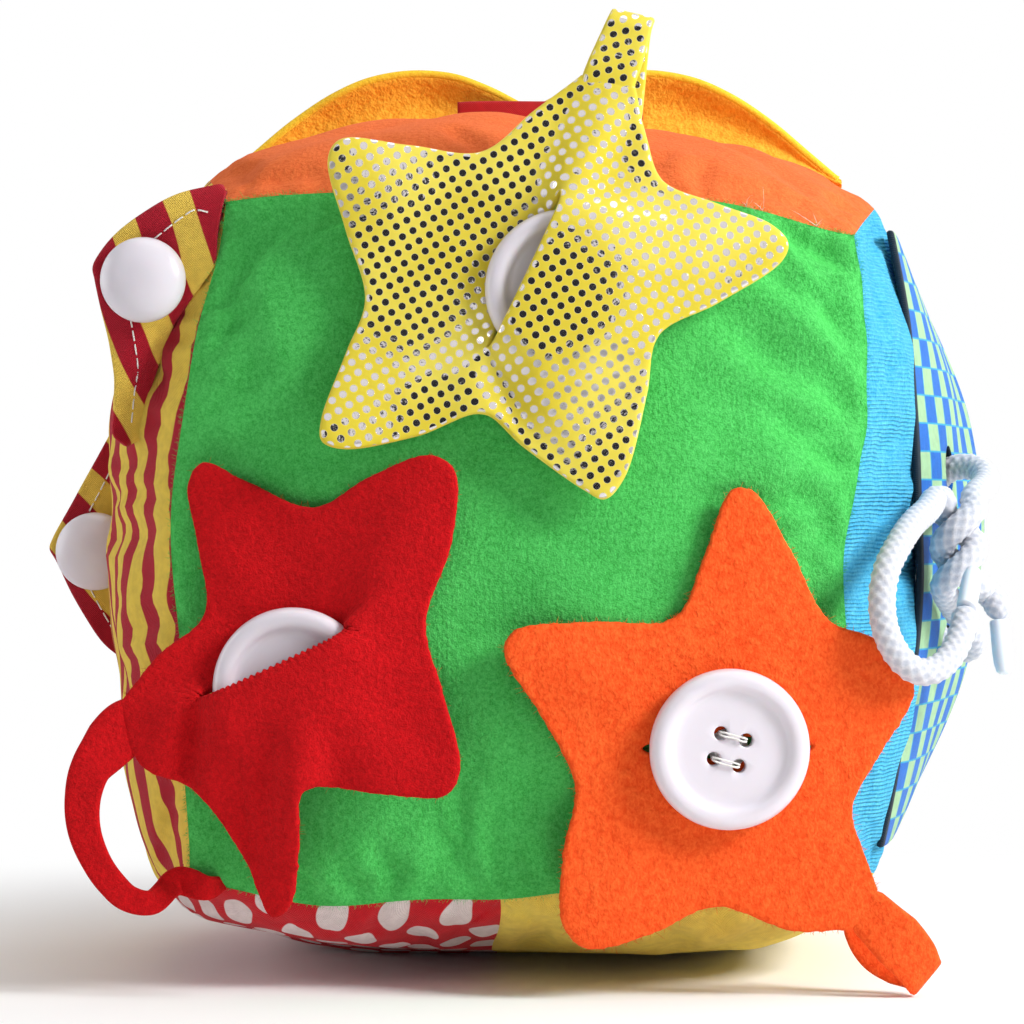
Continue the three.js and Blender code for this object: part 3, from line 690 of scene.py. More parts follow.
# The paint, and then pitch, depth and roughness where they aren't those of plain cotton
weaves = {
    "plain_red": (plain_paint((192, 26, 30)),),
    "yellow_cotton": (plain_paint((246, 216, 92)),),
    "dark_red_cotton": (plain_paint((140, 14, 34)),),
    "striped_panel": (stripe_paint((188, 16, 44), (252, 218, 84), 11.5, 0.48, 0, 5.0),),
    "upper_striped_tab": (stripe_paint((184, 12, 40), (250, 212, 88), 14.5, 0.52, 20, 6.0),),
    "lower_striped_tab": (stripe_paint((180, 12, 38), (246, 206, 84), 14.5, 0.52, 44, 4.0),),
    "dotted_cotton": (dot_paint((214, 20, 34), (240, 224, 222), 15.0, 3.8),),
    # The check ribbon's fourth colour, (5, 34, 50), is the painted shade strip along its near edge
    "check_ribbon": (
        check_paint((14, 110, 208), (170, 214, 164), (44, 172, 214), (5, 34, 50), 7.8, 1.8), 0.6, 0.1, 0.6,
    ),
}
materials = {name: pile_material(name, *look) for name, look in piles.items()}
materials |= {name: woven_material(name, *look) for name, look in weaves.items()}
materials["glitter_cloth"] = foil_dot_material(
    "glitter_cloth", (224, 202, 44), (238, 220, 80), (214, 208, 208), 2.78, 0.86, -14
)
# The cord's first tone is painted shade for the hollows between its plaits
materials["cord"] = braid_material("cord", (176, 182, 196), (214, 214, 219))
materials["cord_tip"] = smooth_material("cord_tip", (226, 234, 242), 0.3, 0.2)
materials["button"] = smooth_material("button", (222, 216, 225), 0.28, 0.3)


# Camera

camera_data = bpy.data.cameras.new("camera")
camera_data.lens = lens_length
camera_data.sensor_width = sensor_width
camera_data.clip_start = clip_start * MM
camera = bpy.data.objects.new("camera", camera_data)
camera.location = Vector(camera_place) * MM
camera.rotation_euler = (math.pi / 2, 0, 0)
bpy.context.collection.objects.link(camera)
bpy.context.scene.camera = camera


# The cord. Its route is the part's, in metres.

lace_tip_lengths = {"upper_lace": 13.0, "lower_lace": 12.0}
knot_axis = (0.102, -0.055)
knot_bottom = 0.095
knot_pitch = 0.020
knot_radius = 0.0039
knot_steps = 8


def knot_points(start_degrees, upward):
    """One turn round the knot's axis."""
    made = []
    for i in range(knot_steps + 1):
        share = i / knot_steps if upward else 1 - i / knot_steps
        angle = math.radians(start_degrees) + share * 2 * math.pi
        made.append((
            knot_axis[0] + knot_radius * math.cos(angle),
            knot_axis[1] + knot_radius * math.sin(angle),
            knot_bottom + share * knot_pitch,
        ))
    return made


upper_lace_route = [
    (0.0993, -0.024, 0.1012), (0.0993, -0.024, 0.108), (0.0993, -0.024, 0.115),
    (0.101, -0.0246, 0.1205), (0.1048, -0.026, 0.123), (0.1086, -0.0286, 0.1232),
    (0.111, -0.033, 0.1216), (0.1106, -0.039, 0.119),
    *knot_points(20, False),
    (0.1095, -0.0485, 0.0928), (0.112, -0.0496, 0.0896), (0.1124, -0.0506, 0.086),
]
lower_lace_route = [
    (0.0993, -0.024, 0.1005), (0.0993, -0.024, 0.093), (0.0993, -0.024, 0.086),
    (0.101, -0.0246, 0.0805), (0.1048, -0.026, 0.078), (0.108, -0.0295, 0.0782),
    (0.1075, -0.0365, 0.082), (0.1025, -0.043, 0.0885),
    *knot_points(200, True),
    (0.097, -0.0555, 0.1155), (0.0935, -0.064, 0.1125), (0.0886, -0.074, 0.109),
    (0.0844, -0.083, 0.1042), (0.081, -0.0894, 0.0986), (0.0796, -0.0926, 0.0916),
    (0.0804, -0.0938, 0.0846), (0.0836, -0.0934, 0.0786), (0.088, -0.092, 0.0754),
    (0.0928, -0.089, 0.076), (0.0968, -0.0848, 0.0794), (0.0996, -0.08, 0.0844),
    (0.1012, -0.0756, 0.0894),
]


def braid_radii(line, diameter, sides):
    """Radii of a round braid of plaits that cross both ways, and how raised each point is."""
    along = distances(line)[:, None]
    angles = circle(sides)[None, :]
    turn = 2 * math.pi / (diameter * braid_pitch_share)
    one = np.cos(plaits * angles + plaits * turn * along)
    other = np.cos(plaits * angles - plaits * turn * along)
    height = np.maximum(one, other) * 0.5 + one * other * 0.35
    ends = np.minimum(along, along[-1] - along) / (diameter / 2)
    cap = np.sqrt(np.clip(1 - (1 - np.clip(ends, 0, 1)) ** 2, 0.04, 1))
    return (diameter / 2 + plait_depth * (height - 0.6)) * cap, np.clip((height + 0.5) / 1.35, 0, 1)


def add_lace(name, route):
    line = catmull_rom(np.array(route) / MM)
    line = even_steps(line, int(length_of(line) / lace_step))
    for _ in range(lace_smoothing):
        line[1:-1] = (line[:-2] + line[1:-1] * 2 + line[2:]) / 4
    radii, raised = braid_radii(line, lace_diameter, lace_sides)
    made = tube(f"{name}_cord", line, radii, materials["cord"], lace_sides)
    mark_points(made, "raised", np.append(raised.ravel(), [0.5, 0.5]))
    dress(made, "block", "cord", name)
    radius = lace_tip_diameter / 2
    length = lace_tip_lengths[name]
    profile = [(0, 0), (radius * 0.96, 0), (radius, lace_tip_round)]
    profile += [(radius * width, length * share) for width, share in lace_tip_taper]
    tip = turned(f"{name}_end", profile, materials["cord_tip"], 32)
    towards = Vector(unit(line[-1] - line[-3]))
    tip.rotation_mode = "QUATERNION"
    tip.rotation_quaternion = Vector((0, 0, 1)).rotation_difference(towards)
    tip.location = (Vector(line[-1]) + towards * clearance) * MM
    dress(tip, "block", "cord_tip", f"{name}_tip")


add_lace("upper_lace", upper_lace_route)
add_lace("lower_lace", lower_lace_route)


# The stuffed cube


def block_point(face, p, q, scale=1.0):
    """Points of a face of the cube, for p and q from -1 to 1 along its other two axes."""
    axis, sign = face["axis"], face["sign"]
    b, c = [i for i in range(3) if i != axis]
    crown = face["crown"] * (1 - np.abs(p) ** face["power"]) * (1 - np.abs(q) ** face["power"])
    bow = edge_bows[c] * (1 - q * q) * p**4 + edge_bows[b] * (1 - p * p) * q**4
    at = np.zeros(np.broadcast(p, q).shape + (3,))
    at[..., axis] = sign * (half[axis] + crown + bow)
    at[..., b] = p * (half[b] + edge_bows[c] * (1 - q * q))
    at[..., c] = q * (half[c] + edge_bows[b] * (1 - p * p))
    at[..., 2] = np.maximum(at[..., 2], -centre_z)
    at *= scale
    at[..., 2] += centre_z
    return at


def surface_at(face, first, second):
    """The points of a face that lie at two given coordinates, found by a few corrections."""
    b, c = [i for i in range(3) if i != face["axis"]]
    shift = centre_z if c == 2 else 0
    p = q = np.zeros(np.broadcast(first, second).shape)
    for _ in range(8):
        p = np.clip(first / (half[b] + edge_bows[c] * (1 - q * q)), -1, 1)
        q = np.clip((second - shift) / (half[c] + edge_bows[b] * (1 - p * p)), -1, 1)
    return block_point(face, p, q)


def face_polygons(face, index):
    """The faces of a grid over one side of the cube, all facing out."""
    return grid_polygons(index, flip=(face["sign"] > 0) == (face["axis"] == 1))


def hang_corners(points):
    """Moves the seams as they lie in the photograph, less and less towards the back."""
    right = np.clip((points[..., 0] / half[0] + 1) / 2, 0, 1)
    up = np.clip(((points[..., 2] - centre_z) / half[2] + 1) / 2, 0, 1)
    left_shift = np.interp(points[..., 2], *catmull_rom(left_seam_shifts).T)
    right_shift = np.interp(points[..., 2], *catmull_rom(right_seam_shifts).T)
    shares = ((1 - right) * up, right * up, (1 - right) * (1 - up), right * (1 - up))
    upwards = sum(share * lift for share, lift in zip(shares, corner_lifts))
    fade = 1 - smooth(points[..., 1], -half[1], half[1])
    right_fade = 1 - smooth(points[..., 1], -half[1], right_seam_reach - half[1])
    clear_of_floor = smooth(points[..., 2], *floor_fade_heights)
    behind_front = smooth(points[..., 1] + half[1], *front_fade_depths)
    waver = [seam_waver * lumps(points, waver_width, order) for order in (80, 81, 82)]
    moved = points.copy()
    moved[..., 0] += left_shift * (1 - right) ** 2 * fade + right_shift * right**2 * right_fade
    moved[..., 0] += waver[0]
    moved[..., 1] += waver[1] * behind_front
    moved[..., 2] += (upwards * fade + waver[2]) * clear_of_floor
    back = np.clip((points[..., 1] + half[1]) / bottom_lift_reach, 0, 1)
    leftwards = 1 - bottom_lift_lean * np.clip(points[..., 0] / half[0], -1, 1)
    low = 1 - smooth(points[..., 2], *bottom_lift_heights)
    moved[..., 2] += bottom_lift * leftwards * np.sin(math.pi * back) * low
    return moved


# A fold's raised shoulders: their height as a share of its depth, and their place in its widths
shoulder_height = 0.45
shoulder_place = 1.7


def crease(x, z, start, end, width, depth):
    """A soft fold from one point to another, with raised shoulders."""
    start, end = np.array(start, float), np.array(end, float)
    run = end - start
    size = np.linalg.norm(run)
    along = ((x - start[0]) * run[0] + (z - start[1]) * run[1]) / size**2
    across = ((x - start[0]) * run[1] - (z - start[1]) * run[0]) / size
    shape = -np.exp(-((across / width) ** 2))
    for way in (-1, 1):
        shape += shoulder_height * np.exp(-(((across + way * shoulder_place * width) / width) ** 2))
    return depth * shape * smooth(along, -0.15, 0.3) * (1 - smooth(along, 0.7, 1.15))


# Folds in each face: start and end in the face's own two coordinates, width and depth
creases = {
    "front": [
        ((38, 196), (78, 172), 5.0, 2.2), ((44, 178), (80, 150), 5.0, 1.8), ((44, 160), (82, 131), 5.5, 2.8),
        ((52, 138), (82, 118), 4.5, 2.0), ((62, 116), (82, 104), 3.5, 1.2),
        ((-76, 172), (-58, 130), 5.0, 0.9), ((-70, 110), (-66, 60), 6.0, 0.8),
        ((20, 120), (70, 100), 8.0, 0.7), ((-20, 100), (20, 60), 9.0, 0.7),
        ((56, 186), (78, 174), 3.0, 1.0), ((-60, 186), (-30, 176), 4.0, 0.8),
    ],
    "back": [
        ((-60, 160), (-20, 120), 6.0, 1.0), ((70, 40), (30, 80), 6.0, 1.1), ((74, 170), (40, 140), 5.0, 1.2),
    ],
    "left": [
        ((-70, 120), (-30, 112), 4.0, 0.9), ((-70, 60), (-40, 80), 5.0, 1.0),
        ((60, 150), (30, 120), 6.0, 1.0),
    ],
    "right": [
        ((-74, 60), (-40, 80), 4.0, 1.0), ((70, 160), (40, 130), 6.0, 1.1),
        ((-70, 150), (-50, 120), 4.0, 0.9),
    ],
    "top": [
        ((70, -70), (40, -30), 5.0, 1.2), ((-70, -60), (-30, -30), 6.0, 1.0), ((60, 60), (30, 30), 6.0, 1.1),
    ],
    "bottom": [((60, -70), (30, -40), 5.0, 0.8), ((-70, -60), (-40, -40), 5.0, 0.8)],
}


# The whole cover, blown up as cloth to find its wrinkles

wrinkle_lines = 49
wrinkle_scale = 5.0
wrinkle_frames = 20
wrinkle_seam_width = 5.0
wrinkle_smoothing = 40
wrinkle_in = 2.6
wrinkle_out = 0.8
wrinkle_fade = 10.0
wrinkle_at_seam = 0.35
cloth_settings = {
    "quality": 6, "mass": 0.2, "bending_stiffness": 0.05, "use_pressure": True,
    "uniform_pressure_force": 4.0, "vertex_group_shrink": "seams", "shrink_min": -0.07, "shrink_max": 0.08,
}


def cover_cage():
    """The six faces as one closed mesh: points, face corners, and each face's grid of point numbers."""
    lines = np.linspace(-1, 1, wrinkle_lines)
    p, q = np.meshgrid(lines, lines, indexing="ij")
    size = wrinkle_lines**2
    every = np.vstack([block_point(face, p, q).reshape(-1, 3) for face in faces_of_block.values()])
    _, first, number = np.unique(np.round(every, 3), axis=0, return_index=True, return_inverse=True)
    number = number.ravel()
    polygons, grids = [], {}
    for i, (name, face) in enumerate(faces_of_block.items()):
        grid = number[i * size : (i + 1) * size].reshape(wrinkle_lines, wrinkle_lines)
        grids[name] = grid
        polygons += face_polygons(face, grid)
    return every[first], polygons, grids


def neighbour_mean(values, edges, counts):
    total = np.zeros_like(values)
    np.add.at(total, edges[:, 0], values[edges[:, 1]])
    np.add.at(total, edges[:, 1], values[edges[:, 0]])
    return total / counts


def blow_up(cage, seam_shares):
    """Runs the cloth and gives where its points end, in millimetres."""
    group = cage.vertex_groups.new(name="seams")
    for i, share in enumerate(seam_shares):
        group.add([i], float(share), "REPLACE")
    step = cage.modifiers.new("cloth", "CLOTH")
    for name, value in cloth_settings.items():
        setattr(step.settings, name, value)
    step.settings.effector_weights.gravity = 0
    step.point_cache.frame_start = 1
    step.point_cache.frame_end = wrinkle_frames
    for number in range(1, wrinkle_frames + 1):
        bpy.context.scene.frame_set(number)
    shown = cage.evaluated_get(bpy.context.evaluated_depsgraph_get())
    places = np.zeros(len(shown.data.vertices) * 3)
    shown.data.vertices.foreach_get("co", places)
    bpy.context.scene.frame_set(1)
    return places.reshape(-1, 3) / MM / wrinkle_scale


def find_wrinkles():
    """How far out each point of the cover is pushed by its wrinkles, as a grid for each face."""
    points, polygons, grids = cover_cage()
    cage = add_object("cage", points * wrinkle_scale, polygons, None, materials["filling"])
    edges = np.array([tuple(edge.vertices) for edge in cage.data.edges])
    counts = np.bincount(edges.ravel(), minlength=len(points)).astype(float)
    rims = np.unique(np.concatenate([
        np.concatenate([grid[0], grid[-1], grid[:, 0], grid[:, -1]]) for grid in grids.values()
    ]))
    away = np.min(np.linalg.norm(points[:, None] - points[rims][None], axis=-1), axis=1)
    moved = blow_up(cage, np.clip(1 - away / wrinkle_seam_width, 0, 1)) - points
    outward = unit(points - np.array([0, 0, centre_z]))
    height = np.sum(moved * outward, axis=1)
    broad = height
    for _ in range(wrinkle_smoothing):
        broad = neighbour_mean(broad, edges, counts)
    height = height - broad
    limit = np.where(height > 0, wrinkle_out, wrinkle_in)
    height = limit * np.tanh(height / limit)
    bpy.data.objects.remove(cage)
    return {name: height[grid] for name, grid in grids.items()}


def read_between(values, shares):
    """Values along the first axis at shares of it, on a smooth curve through them."""
    place = np.clip(shares, 0, 1) * (len(values) - 1)
    low = np.clip(place.astype(int), 0, len(values) - 2)
    share = (place - low)[:, None]
    padded = np.vstack([2 * values[:1] - values[1:2], values, 2 * values[-1:] - values[-2:-1]])
    before, first, second, after = (padded[low + i] for i in range(4))
    cube = share * (3 * (first - second) + after - before)
    square = share * (2 * before - 5 * first + 4 * second - after + cube)
    return first + share * 0.5 * (second - before + square)


wrinkles = find_wrinkles()


def cover_grid(name, p_range=(-1, 1)):
    """The points and cloth places of one panel, with its seams drawn in and its folds."""
    face = faces_of_block[name]
    b, c = [i for i in range(3) if i != face["axis"]]
    sines = np.sin(np.linspace(-math.pi / 2, math.pi / 2, panel_lines))
    lines = close_lines_share * sines + (1 - close_lines_share) * np.linspace(-1, 1, panel_lines)
    low, high = p_range
    p, q = np.meshgrid(low + (lines + 1) / 2 * (high - low), lines, indexing="ij")
    points = block_point(face, p, q)
    centre = np.array([0, 0, centre_z])
    outward = unit(points - centre)
    edge_p = np.minimum(p - low, high - p) * half[b]
    edge_q = (1 - np.abs(q)) * half[c]
    edge = np.maximum(np.minimum(edge_p, edge_q), 0)
    dip = seam_dip * np.exp(-((edge / seam_round) ** 1.5))
    along_seam = np.where(edge_p < edge_q, points[..., c], points[..., b])
    sway = pucker_sway * lumps(points, pucker_sway_width, 3)
    pucker = np.sin(along_seam * 2 * math.pi / pucker_pitch + sway)
    near_seam = (edge / pucker_reach) * np.exp(1 - edge / pucker_reach)
    change = 1 - pucker_change + pucker_change * lumps(points, pucker_change_width, 4)
    pucker *= pucker_depth * near_seam * change
    stuffing = lump_height * lumps(points, lump_width, 5)
    stuffing = stuffing + small_lump_height * lumps(points, small_lump_width, 6)
    across_first = read_between(wrinkles[name], (p[:, 0] + 1) / 2)
    wrinkle = read_between(across_first.T, (lines + 1) / 2).T
    height = -dip + pucker + stuffing * smooth(edge, *lump_fade)
    height = height + wrinkle * (wrinkle_at_seam + (1 - wrinkle_at_seam) * smooth(edge, 0, wrinkle_fade))
    for place in creases[name]:
        height = height + crease(points[..., b], points[..., c], *place) * smooth(edge, 0, crease_fade)
    resting = smooth(points[..., 2], 0, floor_soft_height) if name == "bottom" else 1.0
    points = points + outward * (height * resting)[..., None]
    points[..., 2] = np.maximum(points[..., 2], floor_gap)
    points = hang_corners(points)
    across = np.linalg.norm(np.diff(points, axis=0, prepend=points[:1]), axis=-1).cumsum(axis=0)
    middle = panel_lines // 2
    flat = np.stack([across - across[middle : middle + 1], points[..., c]], axis=-1)
    return points, flat


def add_cover(piece_name, face_name, slot, material, node_name, p_range=(-1, 1)):
    points, flat = cover_grid(face_name, p_range)
    rows, columns = points.shape[:2]
    polygons = face_polygons(faces_of_block[face_name], np.arange(rows * columns).reshape(rows, columns))
    made = add_object(piece_name, points.reshape(-1, 3), polygons, flat.reshape(-1, 2), materials[material])
    dress(made, "block", slot, node_name)


def add_core():
    points, polygons = [], []
    lines = np.sin(np.linspace(-math.pi / 2, math.pi / 2, core_lines))
    p, q = np.meshgrid(lines, lines, indexing="ij")
    for face in faces_of_block.values():
        index = np.arange(core_lines**2).reshape(core_lines, core_lines) + len(points) * core_lines**2
        points.append(hang_corners(block_point(face, p, q, core_share)).reshape(-1, 3))
        polygons += face_polygons(face, index)
    points = np.vstack(points)
    made = add_object("stuffing", points, polygons, points[:, :2], materials["filling"])
    dress(made, "block", "filling", "stuffing_core")


add_core()
add_cover("front_cover", "front", "green_velour", "green_velour", "front_panel")
add_cover("back_cover", "back", "plain_red", "plain_red", "back_panel")
add_cover("left_cover", "left", "striped_cotton", "striped_panel", "left_panel")
add_cover("right_cover", "right", "blue_velour", "blue_velour", "right_panel")
add_cover("top_cover", "top", "orange_cotton", "orange_cotton", "top_panel")
add_cover("dotted_cover", "bottom", "dotted_cotton", "dotted_cotton", "bottom_dotted_panel",
          (-1, bottom_seam_share))
add_cover("yellow_cover", "bottom", "yellow_cotton", "yellow_cotton", "bottom_yellow_panel",
          (bottom_seam_share, 1))


# Stars. Outlines are in millimetres from the middle of each star's button.

stars = [
    {
        "name": "yellow_star", "slot": "glitter_cloth", "half_through": True,
        "centre": (7.2, -90, 162.6), "lean": -5.5, "turn": 0,
        "slit_middle": (-9.1, 4.2), "slit_degrees": 65, "ragged": 0.0,
        "tips": [(50, 8), (8, -46), (-54, -34), (-54, 33), (-14, -32)], "curls": (0, 0.4, 8.0, 8.0, 2.6),
        "fray": 0.0,
        "folds": [
            ((0, 20), (10, 46), 4.5, -1.3), ((-17, -12), (-9, -36), 4.5, 1.4), ((16, 6), (46, 10), 8.0, -0.9),
        ],
        "outline": [
            (16.1, 47.3), (18.6, 35.8), (22.3, 25.4), (34.9, 19.8), (47.4, 14.7), (51.0, 10.6), (49.4, 6.4),
            (34.7, -3.4), (21.2, -11.0), (18.4, -24.6), (13.3, -43.4), (8.8, -48.3), (4.1, -46.2),
            (-9.2, -36.8), (-18.8, -29.0), (-34.1, -34.0), (-51.0, -37.1), (-55.5, -35.3), (-55.7, -30.5),
            (-50.2, -14.3), (-46.0, -2.0), (-50.6, 14.2), (-54.5, 30.0), (-51.6, 34.5), (-35.9, 33.7),
            (-19.2, 32.4), (-7.5, 41.7), (3.8, 50.2),
        ],
    },
    {
        "name": "red_star", "slot": "red_velour", "half_through": True,
        "centre": (-54.9, -90, 71.7), "lean": 0, "turn": -6,
        "slit_middle": (-4.1, 5.7), "slit_degrees": 25, "ragged": 0.28,
        "tips": [(-22, 49), (35, 50), (36, -21), (-3, -50)], "curls": (0.4, 0, 1.2, 0), "fray": 0.05,
        "folds": [
            ((-21, -3), (-26, -24), 3.6, 2.4), ((4, -8), (-2, -46), 4.6, -2.8),
            ((-8, 18), (-22, 44), 7.0, -0.9), ((14, 4), (34, -18), 6.0, 0.8), ((16, 20), (32, 46), 7.0, -0.8),
        ],
        "outline": [
            (-40.4, -3.8), (-31.3, 7.6), (-21.2, 16.6), (-22.6, 33.3), (-24.7, 47.1), (-21.5, 51.7),
            (-11.3, 47.4), (4.6, 41.4), (17.2, 48.2), (31.7, 53.3), (37.2, 49.9), (36.6, 33.3), (30.8, 14.9),
            (34.9, -1.0), (38.7, -18.2), (35.5, -24.1), (20.4, -23.9), (3.6, -23.1), (2.0, -35.7),
            (-1.1, -50.5), (-4.5, -52.4), (-11.3, -39.0), (-22.2, -24.1), (-33.7, -19.0), (-37.4, -14.8),
        ],
    },
    {
        "name": "orange_star", "slot": "orange_felt", "half_through": False,
        "centre": (44.1, -89.5, 58.0), "lean": 2, "turn": 5,
        "slit_middle": (0, 0), "slit_degrees": 0, "ragged": 0.0,
        "tips": [(-36, -43), (-50, 24), (3, 58), (43, 12)], "curls": (0.8, 1.1, 0.5, 0.4), "fray": 0.07,
        "folds": [((-18, 10), (-44, 22), 7.0, -0.7), ((-14, -16), (-32, -38), 8.0, -0.7)],
        "outline": [
            (29.4, -42.5), (15.1, -42.5), (-2.5, -36.8), (-17.6, -42.9), (-32.7, -45.8), (-38.0, -40.1),
            (-37.8, -23.9), (-35.1, -8.6), (-42.4, 6.8), (-51.4, 22.5), (-49.0, 27.2), (-31.4, 29.1),
            (-12.2, 30.0), (-5.4, 43.9), (1.1, 59.2), (5.9, 58.8), (14.8, 45.2), (23.5, 29.3), (34.7, 24.6),
            (43.3, 14.6), (42.9, 10.2), (35.7, -1.7), (29.2, -14.4), (32.0, -24.7), (35.3, -33.3),
        ],
    },
]
outline_count = 560
coarse_every = 5
ring_count = 28
edge_round = 0.7
ragged_teeth = 74
fray_pitch = 2.2
slit_width = 1.0
shank_slit_width = 5.0
drape_length = 16.0
softening_rounds = 12
curl_reach = 30.0
coarse_columns = 14
coarse_rounds = 2500
fine_rounds = 60
wave_width = 58
# Height of a button's bottom over its back, by the distance from its middle
button_bottom = ((0, 16.3, 17.6, 18.3, 18.5), (0, 0, 0.35, 1.1, 2.1))
# Height of the cloth that is pulled over half a button, in the same way
button_cover = ((0, 9, 15, 18.5, 21, 24), (6.0, 5.8, 5.3, 4.4, 2.9, 1.0))


def star_matrix(star):
    """Turns a star's own right, up and outward into the block's frame."""
    turn, lean = math.radians(star["turn"]), math.radians(star["lean"])
    right = (math.cos(turn), math.sin(turn) * math.cos(lean), math.sin(turn) * math.sin(lean))
    up = (0, -math.sin(lean), math.cos(lean))
    out = (math.sin(turn), -math.cos(turn) * math.cos(lean), -math.cos(turn) * math.sin(lean))
    return np.array([right, up, out])


def to_block(star, local):
    return np.array(star["centre"], float) + local @ star_matrix(star)


def star_outline(star):
    """The cut edge, from one side of the strap's root round to the other and straight across."""
    line = even_steps(catmull_rom(star["outline"], 12), outline_count, closed=True)
    return line + outline_normals(line) * (star["fray"] * lumps(line, fray_pitch, 90))[:, None]


def star_grid(star):
    """Rows of points from the slit out to the outline, with close rings at both edges."""
    outer = star_outline(star)
    middle = np.array(star["slit_middle"], float)
    angle = math.radians(star["slit_degrees"])
    turn = np.array([[math.cos(angle), math.sin(angle)], [-math.sin(angle), math.cos(angle)]])
    width = slit_width if star["half_through"] else shank_slit_width
    in_slit = (outer - middle) @ turn.T
    around = np.arctan2(in_slit[:, 1], in_slit[:, 0])
    teeth = star["ragged"] * np.sin(around * ragged_teeth) * np.abs(np.sin(around)) ** 0.3
    loop = np.stack([np.cos(around) * slit_length / 2, np.sin(around) * width / 2 + teeth], axis=1)
    inner = loop @ turn + middle
    reach = np.linalg.norm(outer - inner, axis=1)
    shares = np.array([edge_shares(size, ring_count, edge_round) for size in reach])
    return inner[:, None] + (outer - inner)[:, None] * shares[..., None], shares


def star_limits(star, grid):
    """How low and how high the back of the cloth may lie at each point."""
    at = to_block(star, lifted(grid, 0.0))
    panel = surface_at(faces_of_block["front"], at[..., 0], at[..., 2])
    floor = at[..., 1] - panel[..., 1] + star_panel_gap
    ceiling = np.full(floor.shape, np.inf)
    if star["half_through"]:
        away = np.linalg.norm(grid, axis=-1)
        middle = np.array(star["slit_middle"], float)
        angle = math.radians(star["slit_degrees"])
        across = np.array([-math.sin(angle), math.cos(angle)])
        side = (grid - middle) @ across * -np.sign(middle @ across)
        near = away < button_diameter / 2
        bottom = np.interp(away, *button_bottom)
        cover = button_behind_lip + np.interp(away, *button_cover)
        covered = (away < button_cover[0][-1]) & (side > 0)
        floor = np.where(covered, np.maximum(cover, floor), floor)
        under = np.maximum(floor, button_behind_lip + bottom - star_thickness - 0.1)
        ceiling = np.where(near & (side <= 0), under, ceiling)
    return floor, ceiling


def settle(grid, heights, rest, floor, ceiling, rounds):
    """Lets a stretched skin settle between its limits, drawn softly towards its rest heights."""
    steps = [(0, 1), (0, -1), (1, 1), (1, -1)]
    weights = []
    for axis, way in steps:
        away = np.sum((np.roll(grid, way, axis=axis) - grid) ** 2, axis=-1)
        weight = 1 / np.maximum(away, 0.04)
        if axis == 1:
            weight[:, 0 if way == 1 else -1] = 0
        weights.append(weight)
    pull = 1 / drape_length**2
    total = sum(weights) + pull
    for _ in range(rounds):
        drawn = pull * rest
        for (axis, way), weight in zip(steps, weights):
            drawn = drawn + weight * np.roll(heights, way, axis=axis)
        heights = np.clip(drawn / total, floor, ceiling)
    return heights


def star_heights(star, grid, shares):
    """Heights of the back of the cloth: settled on a coarse grid, then on the fine one."""
    wave = lumps(grid, wave_width, 20 + len(star["name"]))
    rows = np.arange(0, outline_count, coarse_every)
    columns = np.unique(np.round(np.linspace(0, grid.shape[1] - 1, coarse_columns)).astype(int))
    pick = np.ix_(rows, columns)
    coarse = grid[pick]
    floor, ceiling = star_limits(star, coarse)
    heights = settle(coarse, wave[pick], wave[pick], floor, ceiling, coarse_rounds)
    spread = [np.interp(shares[row], shares[row][columns], heights[i]) for i, row in enumerate(rows)]
    spread = np.array(spread + spread[:1])
    turns = np.append(rows, outline_count)
    fine = np.array([np.interp(np.arange(outline_count), turns, column) for column in spread.T]).T
    floor, ceiling = star_limits(star, grid)
    heights = settle(grid, np.clip(fine, floor, ceiling), wave, floor, ceiling, fine_rounds)
    for fold in star["folds"]:
        heights = heights + crease(grid[..., 0], grid[..., 1], *fold)
    for tip, curl in zip(np.array(star["tips"], float), star["curls"]):
        away = np.linalg.norm(grid - tip, axis=-1)
        heights = heights + curl * (1 - smooth(away, -curl_reach * 2 / 3, curl_reach))
    for _ in range(softening_rounds):
        wider = np.pad(heights, ((1, 1), (0, 0)), mode="wrap")
        heights = (wider[:-2] + wider[2:] + heights * 2) / 4
        wider = np.pad(heights, ((0, 0), (1, 1)), mode="edge")
        heights = (wider[:, :-2] + wider[:, 2:] + heights * 2) / 4
    return np.minimum(heights, ceiling)


def mark_edges(made, rows, columns, wrap=False):
    """A number on each point that is 0 on the cut edges and 1 inside, for the foil dots."""
    inside = np.ones((rows, columns))
    inside[:, [0, 1, -2, -1]] = 0
    back = inside[:, 1:-1] if wrap else inside[1:-1, 1:-1]
    values = np.concatenate([inside.ravel(), back.ravel()])
    mark_points(made, "inside", values)


def add_star_cloth(star):
    grid, shares = star_grid(star)
    heights = star_heights(star, grid, shares)
    middle = to_block(star, lifted(grid, heights + star_thickness / 2))
    rows, columns = grid.shape[:2]
    thickness = border_taper(rows, columns, star_thickness, edge_rounds, wrap=True)
    normal = star_matrix(star)[2]
    made = cloth(f"{star['name']}_cloth", middle, thickness, grid, materials[star["slot"]], True, normal)
    star["level"] = float(heights[0, -1] + star_thickness / 2)
    star["edge"] = heights[:, -1]
    mark_edges(made, rows, columns, True)
    dress(made, star["name"], star["slot"], star["name"])


# Buttons

hole_angles = np.radians((29, 119, 209, 299))
hole_circle = 4.3
hole_diameter = 3.2
button_floor = 2.8
# How far in from its edge, and how high, each turn of a button's rim is
button_rim = [
    (2.2, 0), (0.9, 0.35), (0.2, 1.1), (0, 2.1), (0.15, 3.1), (0.6, 3.9), (1.3, 4.5), (2.2, 4.78),
    (3.2, 4.75), (4.0, 4.5), (4.6, 4.05), (5.0, 3.5), (5.5, 3.1), (6.4, button_floor + 0.08),
    (8.0, button_floor), (11.0, button_floor),
]
sharp_edge_degrees = 38
# How far outside a hole, and how far above the sunk middle, each turn of its lip is
hole_lip = [(0, -0.35), (0.12, -0.1), (0.4, 0.05)]
hole_cut_top = 9


